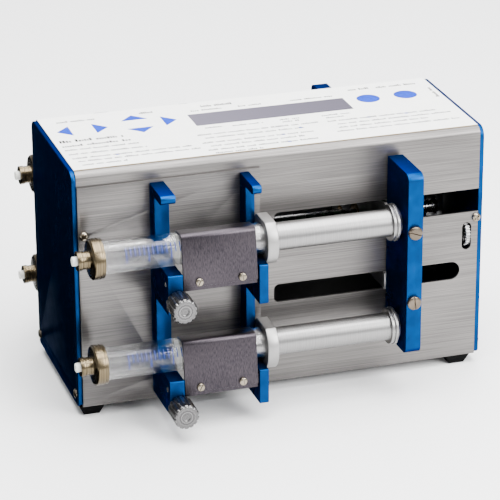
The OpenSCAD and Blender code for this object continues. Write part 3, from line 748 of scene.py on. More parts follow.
def turned_mesh(
    name: str,
    profile: Sequence[tuple[float, float]],
    segments: int = 64,
    closed: bool = False,
) -> bpy.types.Mesh:
    """Spins a profile round X into a closed solid, with UV along the profile in mm.

    Args:
        name: The mesh's name.
        profile: Points as (axial, radial), in mm; a radius of zero makes a pole.
        segments: Faces round the axis.
        closed: Whether the last point joins the first, as for a tube.

    Returns:
        The mesh, in metres, on the X axis.
    """
    bm = bmesh.new()
    uv_layer = bm.loops.layers.uv.new("turning")
    rings: list[list[bmesh.types.BMVert]] = []
    lengths = [0.0]
    for a, b in zip(profile, profile[1:]):
        lengths.append(lengths[-1] + math.dist(a, b))
    for axial, radial in profile:
        if radial < 1e-6:
            rings.append([bm.verts.new((axial * MM, 0, 0))])
            continue
        ring = []
        for i in range(segments):
            angle = 2 * math.pi * i / segments
            place = (axial * MM, radial * MM * math.cos(angle), radial * MM * math.sin(angle))
            ring.append(bm.verts.new(place))
        rings.append(ring)
    spans = list(zip(range(len(rings)), range(1, len(rings))))
    if closed:
        spans.append((len(rings) - 1, 0))
    for first, second in spans:
        ring_a, ring_b = rings[first], rings[second]
        u_a, u_b = lengths[first], lengths[second] if second else lengths[-1] + 1.0
        for i in range(segments):
            j = (i + 1) % segments
            quad = [(ring_a, i, u_a), (ring_a, j, u_a), (ring_b, j, u_b), (ring_b, i, u_b)]
            corners: list[tuple[bmesh.types.BMVert, float]] = []
            for ring, k, u in quad:
                vertex = ring[k % len(ring)]
                if all(vertex is not c[0] for c in corners):
                    corners.append((vertex, u))
            if len(corners) < 3:
                continue
            face = bm.faces.new([c[0] for c in corners])
            for loop, (_, u) in zip(face.loops, corners):
                loop[uv_layer].uv = (u, i / segments)
    bmesh.ops.recalc_face_normals(bm, faces=bm.faces)
    mesh = bpy.data.meshes.new(name)
    bm.to_mesh(mesh)
    bm.free()
    finish_mesh(mesh)
    return mesh


def prism_mesh(
    name: str, outline: Sequence[tuple[float, float]], start: float, length: float
) -> bpy.types.Mesh:
    """Pulls an outline in Y and Z along X.

    Args:
        name: The mesh's name.
        outline: Points as (y, z), in mm, anticlockwise seen from +X.
        start: The lower X face, in mm.
        length: The length along X, in mm.

    Returns:
        The closed mesh, in metres.
    """
    bm = bmesh.new()
    low = [bm.verts.new((start * MM, y * MM, z * MM)) for y, z in outline]
    high = [bm.verts.new(((start + length) * MM, y * MM, z * MM)) for y, z in outline]
    bm.faces.new(reversed(low))
    bm.faces.new(high)
    for i in range(len(outline)):
        j = (i + 1) % len(outline)
        bm.faces.new([low[i], low[j], high[j], high[i]])
    bmesh.ops.recalc_face_normals(bm, faces=bm.faces)
    mesh = bpy.data.meshes.new(name)
    bm.to_mesh(mesh)
    bm.free()
    return mesh


def joined(
    name: str, parts: Iterable[tuple[bpy.types.Mesh, Matrix]]
) -> bpy.types.Mesh:
    """Places meshes and joins them into one, keeping materials and UVs.

    Args:
        name: The new mesh's name.
        parts: Meshes and their placing matrices; a mirroring matrix is allowed.

    Returns:
        The joined mesh.
    """
    bm = bmesh.new()
    materials: list[bpy.types.Material | None] = []
    for mesh, matrix in parts:
        placed = mesh.copy()
        placed.transform(matrix)
        if matrix.determinant() < 0:
            placed.flip_normals()
        offset = len(materials)
        materials.extend(placed.materials)
        for polygon in placed.polygons:
            polygon.material_index += offset
        bm.from_mesh(placed)
        bpy.data.meshes.remove(placed)
    mesh = bpy.data.meshes.new(name)
    for material in materials:
        mesh.materials.append(material)
    bm.to_mesh(mesh)
    bm.free()
    finish_mesh(mesh)
    return mesh


def place_x(x: float, y: float, z: float, flip: bool = False) -> Matrix:
    """Returns the matrix that puts a part turned on X at a place, mirrored in Y where asked."""
    return Matrix.Translation((x, y, z)) @ Matrix.Diagonal((1, -1 if flip else 1, 1, 1))


def broken_edges(
    obj: bpy.types.Object, width_mm: float, name: str, segments: int = 2, degrees: float = 32.0
) -> bpy.types.Mesh:
    """Bevels an object's sharp edges.

    Args:
        obj: A helper object; it is removed.
        width_mm: Width of the bevel.
        name: The new mesh's name.
        segments: Steps in the bevel.
        degrees: Edges sharper than this are bevelled.

    Returns:
        The bevelled mesh.
    """
    bevel = obj.modifiers.new("edges", "BEVEL")
    bevel.width = width_mm * MM
    bevel.segments = segments
    bevel.limit_method = "ANGLE"
    bevel.angle_limit = math.radians(degrees)
    bevel.use_clamp_overlap = True
    mesh = evaluated_mesh(obj, name)
    drop(obj)
    finish_mesh(mesh, 40.0)
    return mesh


def dressed_copy(
    node: str, finish: Finish, body: str, bevel_mm: float = 0.25, segments: int = 2
) -> bpy.types.Object:
    """Replaces a CAD node with a copy whose edges are broken.

    Args:
        node: The node.
        finish: The copy's finish.
        body: The body it rides on.
        bevel_mm: Width of the broken edges; zero only smooths.
        segments: Steps in the bevel.

    Returns:
        The copy.
    """
    bm = bmesh.new()
    bm.from_mesh(frame["nodes"][node].data)
    bmesh.ops.remove_doubles(bm, verts=bm.verts, dist=0.002 * MM)
    bmesh.ops.dissolve_limit(
        bm, angle_limit=math.radians(0.6), verts=bm.verts, edges=bm.edges
    )
    mesh = bpy.data.meshes.new(node + "_merged")
    bm.to_mesh(mesh)
    bm.free()
    helper = new_object(node + "_helper", mesh)
    if bevel_mm:
        done = broken_edges(helper, bevel_mm, node + "_dressed", segments)
    else:
        done = evaluated_mesh(helper, node + "_dressed")
        drop(helper)
        finish_mesh(done, 40.0)
    piece = new_object(node + "_dressed", done, finish)
    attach(piece, body)
    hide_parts(node)
    return piece


# ---------------------------------------------------------------------------
# Geometry Nodes trees
# ---------------------------------------------------------------------------


def new_geometry_tree(
    name: str, sockets: Sequence[tuple[str, str]]
) -> tuple[bpy.types.NodeTree, bpy.types.Node]:
    """Starts a tree with a geometry input, named inputs and a geometry output.

    Args:
        name: The tree's name.
        sockets: Further inputs as (name, socket type).

    Returns:
        The tree and its group input node.
    """
    tree = bpy.data.node_groups.new(name, "GeometryNodeTree")
    tree.interface.new_socket("Geometry", in_out="OUTPUT", socket_type="NodeSocketGeometry")
    tree.interface.new_socket("Geometry", in_out="INPUT", socket_type="NodeSocketGeometry")
    for label, kind in sockets:
        tree.interface.new_socket(label, in_out="INPUT", socket_type=kind)
    return tree, tree.nodes.new("NodeGroupInput")


def end_geometry_tree(
    tree: bpy.types.NodeTree, geometry: bpy.types.NodeSocket, finish: bpy.types.NodeSocket
) -> None:
    """Ends a tree in Realize Instances and Set Material.

    Args:
        tree: The tree.
        geometry: What to end it with.
        finish: The material socket.
    """
    real = add_node(tree, "GeometryNodeRealizeInstances", {0: geometry})
    dressed = add_node(
        tree, "GeometryNodeSetMaterial", {"Geometry": real.outputs[0], "Material": finish}
    )
    add_node(tree, "NodeGroupOutput", {0: dressed.outputs[0]})


def run_tree(
    base: bpy.types.Mesh, tree: bpy.types.NodeTree, values: dict[str, Any], name: str
) -> bpy.types.Mesh:
    """Runs a geometry tree on a mesh and returns a plain mesh.

    Args:
        base: The mesh that goes in.
        tree: The tree.
        values: Values by input name.
        name: The new mesh's name.

    Returns:
        The plain mesh.
    """
    helper = new_object(name + "_helper", base)
    modifier = helper.modifiers.new("tree", "NODES")
    modifier.node_group = tree
    for item in tree.interface.items_tree:
        if item.item_type == "SOCKET" and item.in_out == "INPUT" and item.name in values:
            modifier[item.identifier] = values[item.name]
    mesh = evaluated_mesh(helper, name)
    helper.modifiers.remove(modifier)
    drop(helper)
    finish_mesh(mesh)
    return mesh


def point_mesh(
    name: str, places: Sequence[Sequence[float]], vectors: dict[str, Sequence[Sequence[float]]]
) -> bpy.types.Mesh:
    """Makes a mesh of loose points with vector attributes.

    Args:
        name: The mesh's name.
        places: Points, in metres.
        vectors: Vector attributes by name, one value for each point.

    Returns:
        The mesh.
    """
    mesh = bpy.data.meshes.new(name)
    mesh.from_pydata([tuple(p) for p in places], [], [])
    for label, values in vectors.items():
        layer = mesh.attributes.new(label, "FLOAT_VECTOR", "POINT")
        for item, value in zip(layer.data, values):
            item.vector = tuple(value)
    return mesh


def scatter_tree() -> bpy.types.NodeTree:
    """Returns the tree that sets one small part on every point, turned as the point says."""
    found = bpy.data.node_groups.get("set_parts_on_points")
    if found:
        return found
    tree, start = new_geometry_tree(
        "set_parts_on_points",
        [
            ("Part", "NodeSocketObject"),
            ("Size", "NodeSocketFloat"),
            ("Finish", "NodeSocketMaterial"),
        ],
    )
    part = add_node(tree, "GeometryNodeObjectInfo", {"Object": start.outputs["Part"]})
    turn = add_node(
        tree, "GeometryNodeInputNamedAttribute", {"Name": "turn"}, data_type="FLOAT_VECTOR"
    )
    rotation = add_node(tree, "FunctionNodeEulerToRotation", {0: turn.outputs["Attribute"]})
    placed = add_node(
        tree,
        "GeometryNodeInstanceOnPoints",
        {
            "Points": start.outputs["Geometry"],
            "Instance": part.outputs["Geometry"],
            "Rotation": rotation.outputs[0],
            "Scale": start.outputs["Size"],
        },
    )
    end_geometry_tree(tree, placed.outputs[0], start.outputs["Finish"])
    return tree


def print_tree() -> bpy.types.NodeTree:
    """Returns the tree that lays a thin slab of ink on every point, as long as the point says."""
    found = bpy.data.node_groups.get("lay_ink_on_points")
    if found:
        return found
    tree, start = new_geometry_tree("lay_ink_on_points", [("Finish", "NodeSocketMaterial")])
    slab = add_node(tree, "GeometryNodeMeshCube", {"Size": (1.0, 1.0, 1.0)})
    size = add_node(
        tree, "GeometryNodeInputNamedAttribute", {"Name": "slab"}, data_type="FLOAT_VECTOR"
    )
    placed = add_node(
        tree,
        "GeometryNodeInstanceOnPoints",
        {
            "Points": start.outputs["Geometry"],
            "Instance": slab.outputs["Mesh"],
            "Scale": size.outputs["Attribute"],
        },
    )
    end_geometry_tree(tree, placed.outputs[0], start.outputs["Finish"])
    return tree


def flute_tree() -> bpy.types.NodeTree:
    """Returns the tree that cuts lengthwise flutes into a part turned on X."""
    found = bpy.data.node_groups.get("cut_flutes")
    if found:
        return found
    tree, start = new_geometry_tree(
        "cut_flutes",
        [
            ("Count", "NodeSocketFloat"),
            ("Depth", "NodeSocketFloat"),
            ("Land", "NodeSocketFloat"),
            ("Core Radius", "NodeSocketFloat"),
            ("Finish", "NodeSocketMaterial"),
        ],
    )
    place = add_node(tree, "GeometryNodeInputPosition")
    split = add_node(tree, "ShaderNodeSeparateXYZ", {0: place.outputs[0]})
    flat = add_node(
        tree, "ShaderNodeCombineXYZ", {1: split.outputs["Y"], 2: split.outputs["Z"]}
    )
    radius = add_node(tree, "ShaderNodeVectorMath", {0: flat.outputs[0]}, operation="LENGTH")
    outward = add_node(tree, "ShaderNodeVectorMath", {0: flat.outputs[0]}, operation="NORMALIZE")
    angle = add_node(
        tree,
        "ShaderNodeMath",
        {0: split.outputs["Z"], 1: split.outputs["Y"]},
        operation="ARCTAN2",
    )
    phase = add_node(
        tree,
        "ShaderNodeMath",
        {0: angle.outputs[0], 1: start.outputs["Count"]},
        operation="MULTIPLY",
    )
    wave = add_node(tree, "ShaderNodeMath", {0: phase.outputs[0]}, operation="COSINE")
    cut = add_node(
        tree,
        "ShaderNodeMapRange",
        {
            "Value": wave.outputs[0],
            "From Min": start.outputs["Land"],
            "From Max": 1.0,
            "To Min": 0.0,
            "To Max": start.outputs["Depth"],
        },
        interpolation_type="SMOOTHSTEP",
    )
    outer = add_node(
        tree,
        "ShaderNodeMath",
        {0: radius.outputs["Value"], 1: start.outputs["Core Radius"]},
        operation="GREATER_THAN",
    )
    depth = add_node(
        tree,
        "ShaderNodeMath",
        {0: cut.outputs["Result"], 1: outer.outputs[0]},
        operation="MULTIPLY",
    )
    inward = add_node(
        tree, "ShaderNodeMath", {0: depth.outputs[0], 1: -1.0}, operation="MULTIPLY"
    )
    offset = add_node(
        tree,
        "ShaderNodeVectorMath",
        {0: outward.outputs[0], "Scale": inward.outputs[0]},
        operation="SCALE",
    )
    moved = add_node(
        tree,
        "GeometryNodeSetPosition",
        {"Geometry": start.outputs["Geometry"], "Offset": offset.outputs[0]},
    )
    end_geometry_tree(tree, moved.outputs[0], start.outputs["Finish"])
    return tree


def arc_tree() -> bpy.types.NodeTree:
    """Returns the tree that lays an ink arc round X on every point, swept as the point says."""
    found = bpy.data.node_groups.get("lay_arcs_round_tube")
    if found:
        return found
    tree, start = new_geometry_tree(
        "lay_arcs_round_tube",
        [
            ("Radius", "NodeSocketFloat"),
            ("Sweep", "NodeSocketFloat"),
            ("Line", "NodeSocketFloat"),
            ("Ink", "NodeSocketFloat"),
            ("Finish", "NodeSocketMaterial"),
        ],
    )
    arc = add_node(
        tree,
        "GeometryNodeCurveArc",
        {
            "Resolution": 12,
            "Radius": start.outputs["Radius"],
            "Sweep Angle": start.outputs["Sweep"],
        },
        mode="RADIUS",
    )
    stroke = add_node(
        tree,
        "GeometryNodeCurvePrimitiveQuadrilateral",
        {"Width": start.outputs["Ink"], "Height": start.outputs["Line"]},
    )
    ribbon = add_node(
        tree,
        "GeometryNodeCurveToMesh",
        {
            "Curve": arc.outputs["Curve"],
            "Profile Curve": stroke.outputs["Curve"],
            "Fill Caps": True,
        },
    )
    turn = add_node(
        tree, "GeometryNodeInputNamedAttribute", {"Name": "turn"}, data_type="FLOAT_VECTOR"
    )
    rotation = add_node(tree, "FunctionNodeEulerToRotation", {0: turn.outputs["Attribute"]})
    placed = add_node(
        tree,
        "GeometryNodeInstanceOnPoints",
        {
            "Points": start.outputs["Geometry"],
            "Instance": ribbon.outputs[0],
            "Rotation": rotation.outputs[0],
        },
    )
    end_geometry_tree(tree, placed.outputs[0], start.outputs["Finish"])
    return tree


def spiral_tree() -> bpy.types.NodeTree:
    """Returns the tree that winds a thread's ridge round X on every point."""
    found = bpy.data.node_groups.get("wind_thread")
    if found:
        return found
    tree, start = new_geometry_tree(
        "wind_thread",
        [
            ("Turns", "NodeSocketFloat"),
            ("Length", "NodeSocketFloat"),
            ("Radius", "NodeSocketFloat"),
            ("Ridge", "NodeSocketFloat"),
            ("Finish", "NodeSocketMaterial"),
        ],
    )
    spiral = add_node(
        tree,
        "GeometryNodeCurveSpiral",
        {
            "Resolution": 14,
            "Rotations": start.outputs["Turns"],
            "Start Radius": start.outputs["Radius"],
            "End Radius": start.outputs["Radius"],
            "Height": start.outputs["Length"],
        },
    )
    ridge = add_node(
        tree,
        "GeometryNodeCurvePrimitiveCircle",
        {"Resolution": 4, "Radius": start.outputs["Ridge"]},
        mode="RADIUS",
    )
    thread = add_node(
        tree,
        "GeometryNodeCurveToMesh",
        {
            "Curve": spiral.outputs["Curve"],
            "Profile Curve": ridge.outputs["Curve"],
            "Fill Caps": True,
        },
    )
    turn = add_node(
        tree, "GeometryNodeInputNamedAttribute", {"Name": "turn"}, data_type="FLOAT_VECTOR"
    )
    rotation = add_node(tree, "FunctionNodeEulerToRotation", {0: turn.outputs["Attribute"]})
    placed = add_node(
        tree,
        "GeometryNodeInstanceOnPoints",
        {
            "Points": start.outputs["Geometry"],
            "Instance": thread.outputs[0],
            "Rotation": rotation.outputs[0],
        },
    )
    end_geometry_tree(tree, placed.outputs[0], start.outputs["Finish"])
    return tree


# ---------------------------------------------------------------------------
# Places read from the frame
# ---------------------------------------------------------------------------


def joint_place(name: str) -> Vector:
    """Returns a joint's place in the row frame, in mm."""
    for joint in frame["record"]["behaviour"]["joints"]:
        if joint["name"] == name:
            return Vector(joint["pos_m"]) / MM
    raise KeyError(name)


def node_box(node: str) -> tuple[Vector, Vector]:
    """Returns a CAD node's lowest and highest corners, in mm."""
    low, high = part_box(node)
    return low / MM, high / MM


def channel(wall: Wall, level: Level) -> str:
    """Returns the end of a syringe's node and body names, such as front_upper."""
    return f"{wall.name.lower()}_{level.value}"


def facing(wall: Wall, spin_degrees: float) -> tuple[float, float, float]:
    """Gives the turn of a part modelled on +Z so that it faces out of a wall.

    Args:
        wall: The wall.
        spin_degrees: Turn about the part's own axis first.

    Returns:
        Euler angles in radians.
    """
    tilt = Matrix.Rotation(math.radians(-90 * wall.value), 3, "X")
    spin = Matrix.Rotation(math.radians(spin_degrees), 3, "Z")
    return tuple((tilt @ spin).to_euler("XYZ"))


# ---------------------------------------------------------------------------
# Screws
# ---------------------------------------------------------------------------


class Recess(Enum):
    """Drive recess in a screw's head."""

    SLOT = "slot"
    CROSS = "cross"


@dataclass
class ScrewHead:
    """A screw head modelled on +Z with its seat at the origin, in mm.

    Attributes:
        name: Name of the helper mesh.
        radius: Radius of the head.
        height: Height of the head.
        crown: How far the top is domed.
        recess: Kind of recess.
        slot_mm: Width of the recess.
        depth_mm: Depth of the recess.
        segments: Faces round the head.
    """

    name: str
    radius: float
    height: float
    crown: float
    recess: Recess
    slot_mm: float
    depth_mm: float
    segments: int = 40

    def helper(self) -> bpy.types.Object:
        """Makes the head as a hidden helper object on +Z."""
        r, h, c = self.radius, self.height, self.crown
        side = h - c
        profile = [(0.0, 0.0), (0.0, r), (side * 0.85, r)]
        for step in range(5):
            t = step / 4
            lean = t * math.pi / 2
            profile.append((side + c * math.sin(lean), r * math.cos(lean) * 0.96))
        profile[-1] = (h, 0.0)
        mesh = turned_mesh(self.name, profile, self.segments)
        mesh.transform(Matrix.Rotation(math.radians(-90), 4, "Y"))
        head = new_object(self.name, mesh, Finishes.nickel)
        spins = [0] if self.recess is Recess.SLOT else [0, 90]
        reach = 2.2 * r if self.recess is Recess.SLOT else 1.25 * r
        for spin in spins:
            bar = bmesh.new()
            bmesh.ops.create_cube(bar, size=1.0)
            cutter_mesh = bpy.data.meshes.new("recess")
            bar.to_mesh(cutter_mesh)
            bar.free()
            scale = Matrix.Diagonal((reach * MM, self.slot_mm * MM, 2 * self.depth_mm * MM, 1))
            turn = Matrix.Rotation(math.radians(spin), 4, "Z")
            cutter_mesh.transform(Matrix.Translation((0, 0, h * MM)) @ turn @ scale)
            cutter = new_object("recess", cutter_mesh)
            cut = head.modifiers.new("recess", "BOOLEAN")
            cut.operation = "DIFFERENCE"
            cut.solver = "EXACT"
            cut.object = cutter
            cut_mesh = evaluated_mesh(head, self.name)
            head.modifiers.remove(cut)
            head.data = cut_mesh
            drop(cutter)
        finish_mesh(head.data, 30.0)
        head.hide_render = True
        return head


def scatter(
    name: str,
    part: bpy.types.Object,
    places: Sequence[Sequence[float]],
    turns: Sequence[Sequence[float]],
    finish: Finish,
) -> bpy.types.Mesh:
    """Sets copies of a helper part on places.

    Args:
        name: The new mesh's name.
        part: The part.
        places: Places, in mm.
        turns: Euler angles, in radians.
        finish: The copies' finish.

    Returns:
        One plain mesh.
    """
    points = point_mesh(
        name + "_points", [[c * MM for c in p] for p in places], {"turn": turns}
    )
    values = {"Part": part, "Size": 1.0, "Finish": finish.material()}
    return run_tree(points, scatter_tree(), values, name)


# ---------------------------------------------------------------------------
# Case
# ---------------------------------------------------------------------------


@dataclass
class Case:
    """Folded steel case, end plates, mounting plates, feet and what is fixed inside.

    Attributes:
        plate_edge: Broken edge of the anodised end plates.
        sheet_edge: Broken edge of the steel sheet.
        end_screw_y: Distance of the end plate screws from the middle.
        end_screw_rise: Height of the end plate screws above the base.
        wall_screws: Wall screws as distance from the near end plate face, height above the
            base, and how far the sheet they hold stands out.
    """

    plate_edge: float = 0.5
    sheet_edge: float = 0.2
    end_screw_y: float = 42.9
    end_screw_rise: float = 7.0
    wall_screws: tuple[tuple[float, float, float], ...] = ((5.6, 103.2, 1.5), (-3.7, 85.5, 0.0))

    def build(self) -> None:
        """Builds every fixed piece of the case."""
        for node in ("left_end_plate", "right_end_plate"):
            dressed_copy(node, Finishes.blue, CHASSIS, self.plate_edge, 3)
        dressed_copy("casing_shell", Finishes.case_steel, CHASSIS, 0.0)
        dressed_copy("mounting_plates", Finishes.plate_steel, CHASSIS, self.sheet_edge)
        dressed_copy("base_plate", Finishes.plate_steel, CHASSIS, 0.0)
        dressed_copy("rubber_feet", Finishes.rubber, CHASSIS, 0.6)
        dressed_copy("power_inlet", Finishes.black_plastic, CHASSIS, 0.3)
        dressed_copy("trim_wheel_bracket", Finishes.inner_shaded_steel, CHASSIS, 0.0)
        dressed_copy("control_board", Finishes.board, CHASSIS, 0.0)
        dressed_copy("display_module", Finishes.black_plastic, CHASSIS, 0.0)
        dressed_copy("holder_screws", Finishes.bright_steel, CHASSIS, 0.0)
        self.build_screws()

    def build_screws(self) -> None:
        """Builds the pan-head screws of the end plates and walls."""
        low, high = node_box("left_end_plate")
        right = node_box("right_end_plate")[1]
        places: list[tuple[float, float, float]] = []
        turns: list[tuple[float, float, float]] = []
        rng = random.Random(SEED)
        rise = low.z + self.end_screw_rise
        for side, x in ((-1, low.x), (1, right.x)):
            for y in (-self.end_screw_y, self.end_screw_y):
                places.append((x, y, rise))
                tilt = Matrix.Rotation(math.radians(90 * side), 3, "Y")
                spin = Matrix.Rotation(rng.uniform(0, math.pi), 3, "Z")
                turns.append(tuple((tilt @ spin).to_euler("XYZ")))
        for wall in Wall:
            for inset, up, out in self.wall_screws:
                x = low.x + inset if inset > 0 else right.x + inset
                places.append((x, wall.value * (high.y + out), low.z + up))
                turns.append(facing(wall, rng.uniform(0, 90)))
        part = ScrewHead("pan_head", 2.6, 1.6, 0.9, Recess.CROSS, 0.75, 0.9).helper()
        mesh = scatter("case_screw_heads", part, places, turns, Finishes.screw_nickel)
        drop(part)
        heads = new_object("case_screw_heads", mesh)
        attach(heads, CHASSIS)
        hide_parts("case_screws")
        LOG.info("case: %d screws", len(places))


# ---------------------------------------------------------------------------
# Control panel
# ---------------------------------------------------------------------------


@dataclass(frozen=True)
class PrintRow:
    """One row of small marks on the label, in mm from the label's left front corner.

    Attributes:
        start: Where the row starts along X.
        length: Length of the row.
        rise: Distance of the row from the label's front edge.
        height: Height of the marks.
        upright: Whether the row runs along Y instead of X.
    """

    start: float
    length: float
    rise: float
    height: float = 2.1
    upright: bool = False


@dataclass
class ControlPanel:
    """White label with plain marks in place of words, seven keys and a display window.

    Attributes:
        ink_mm: Thickness of the print.
        stroke_mm: Width of one mark.
        gap_mm: Gap between marks.
        captions: Short rows over the keys and round the window.
        titles: The two bold rows over the first block.
        steps: Rows of the three blocks of small print.
        dots: Small blue pointers in the print, as X and distance from the front edge.
        dot_mm: Side of a pointer.
    """

    ink_mm: float = 0.03
    stroke_mm: float = 0.62
    gap_mm: float = 0.36
    captions: tuple[PrintRow, ...] = (
        PrintRow(9.1, 22.4, 77.4, 2.9),
        PrintRow(58.0, 7.4, 78.5, 2.9),
        PrintRow(94.9, 17.9, 78.8, 3.2),
        PrintRow(87.3, 19.0, 72.6, 2.0),
        PrintRow(115.6, 13.3, 72.4, 2.0),
        PrintRow(147.3, 26.4, 72.5, 2.1),
        PrintRow(87.0, 9.7, 42.6, 1.9),
        PrintRow(102.9, 17.3, 41.6, 2.0),
        PrintRow(131.1, 11.3, 42.6, 1.9),
        PrintRow(131.6, 10.0, 38.8, 1.9),
        PrintRow(156.0, 17.0, 41.6, 2.0),
        PrintRow(157.3, 9.9, 37.4, 1.9),
        PrintRow(185.2, 13.0, 79.4, 2.9),
        PrintRow(202.5, 24.2, 78.8, 2.9),
        PrintRow(231.3, 17.0, 52.1, 2.2, upright=True),
    )
    titles: tuple[PrintRow, ...] = (
        PrintRow(3.2, 36.5, 45.3, 3.9),
        PrintRow(3.0, 38.3, 37.8, 3.0),
    )
    steps: tuple[PrintRow, ...] = (
        PrintRow(3.0, 42.8, 31.3),
        PrintRow(3.4, 44.0, 24.4),
        PrintRow(3.8, 68.3, 17.6),
        PrintRow(5.8, 68.9, 12.4),
        PrintRow(6.6, 24.6, 6.6),
        PrintRow(79.4, 72.0, 32.3),
        PrintRow(82.4, 57.9, 26.6),
        PrintRow(78.4, 65.2, 19.1),
        PrintRow(81.6, 54.4, 13.5),
        PrintRow(78.4, 63.4, 7.3),
        PrintRow(81.1, 26.8, 2.0),
        PrintRow(156.2, 65.8, 31.4),
        PrintRow(160.2, 68.9, 25.7),
        PrintRow(159.0, 54.6, 20.0),
        PrintRow(156.0, 73.2, 14.2),
    )
    dots: tuple[tuple[float, float], ...] = (
        (29.0, 16.9),
        (138.4, 26.5),
        (125.7, 18.9),
        (125.5, 6.9),
        (203.5, 30.8),
        (180.8, 31.1),
    )
    dot_mm: float = 1.9

    def build(self) -> None:
        """Builds the label, its print, the window and the keys."""
        dressed_copy("label_overlay", Finishes.label, CHASSIS, 0.0)
        dressed_copy("display_window", Finishes.display, CHASSIS, 0.0)
        for key in (
            "rewind_key",
            "advance_key",
            "up_key",
            "down_key",
            "next_key",
            "reset_key",
            "start_key",
        ):
            dressed_copy(key, Finishes.key, key, 0.1)
        self.build_print()

    def row_marks(
        self, row: PrintRow, rng: random.Random, weight: float = 1.0
    ) -> tuple[list[tuple[float, float]], list[tuple[float, float]]]:
        """Splits a row into words of plain upright marks.

        Args:
            row: The row.
            rng: Source of word and mark lengths.
            weight: How wide the marks are drawn.

        Returns:
            Places and sizes of the marks in the label's plane, in mm.
        """
        places: list[tuple[float, float]] = []
        sizes: list[tuple[float, float]] = []
        stroke, gap = self.stroke_mm * weight, self.gap_mm * weight
        along, left = 0.0, rng.randint(4, 9)
        while along < row.length:
            tall = row.height * rng.choice((0.62, 0.62, 0.8, 1.0))
            wide = stroke * rng.uniform(0.8, 1.5)
            centre, up = along + wide / 2, tall / 2 - row.height / 2
            if row.upright:
                places.append((row.start - up, row.rise + centre))
                sizes.append((tall, wide))
            else:
                places.append((row.start + centre, row.rise + up))
                sizes.append((wide, tall))
            along += wide + gap
            left -= 1
            if not left:
                along += 2.2 * gap + stroke
                left = rng.randint(4, 11)
        return places, sizes

    def build_print(self) -> None:
        """Lays the marks and the blue pointers on the label."""
        low, high = node_box("label_overlay")
        rng = random.Random(SEED)
        places: list[tuple[float, float]] = []
        sizes: list[tuple[float, float]] = []
        for rows, weight in ((self.captions, 1.1), (self.titles, 1.5), (self.steps, 1.0)):
            for row in rows:
                found, size = self.row_marks(row, rng, weight)
                places += found
                sizes += size
        top = high.z + self.ink_mm / 2
        dot_slabs = [(self.dot_mm, self.dot_mm)] * len(self.dots)
        for name, spots, slabs, finish in (
            ("label_print", places, sizes, Finishes.ink),
            ("label_pointers", self.dots, dot_slabs, Finishes.key),
        ):
            points = point_mesh(
                name + "_points",
                [((low.x + x) * MM, (low.y + y) * MM, top * MM) for x, y in spots],
                {"slab": [(a * MM, b * MM, self.ink_mm * MM) for a, b in slabs]},
            )
            mesh = run_tree(points, print_tree(), {"Finish": finish.material()}, name)
            piece = new_object(name, mesh)
            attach(piece, CHASSIS)
        LOG.info("control panel: %d printed marks", len(places))


# ---------------------------------------------------------------------------
# Syringes
# ---------------------------------------------------------------------------


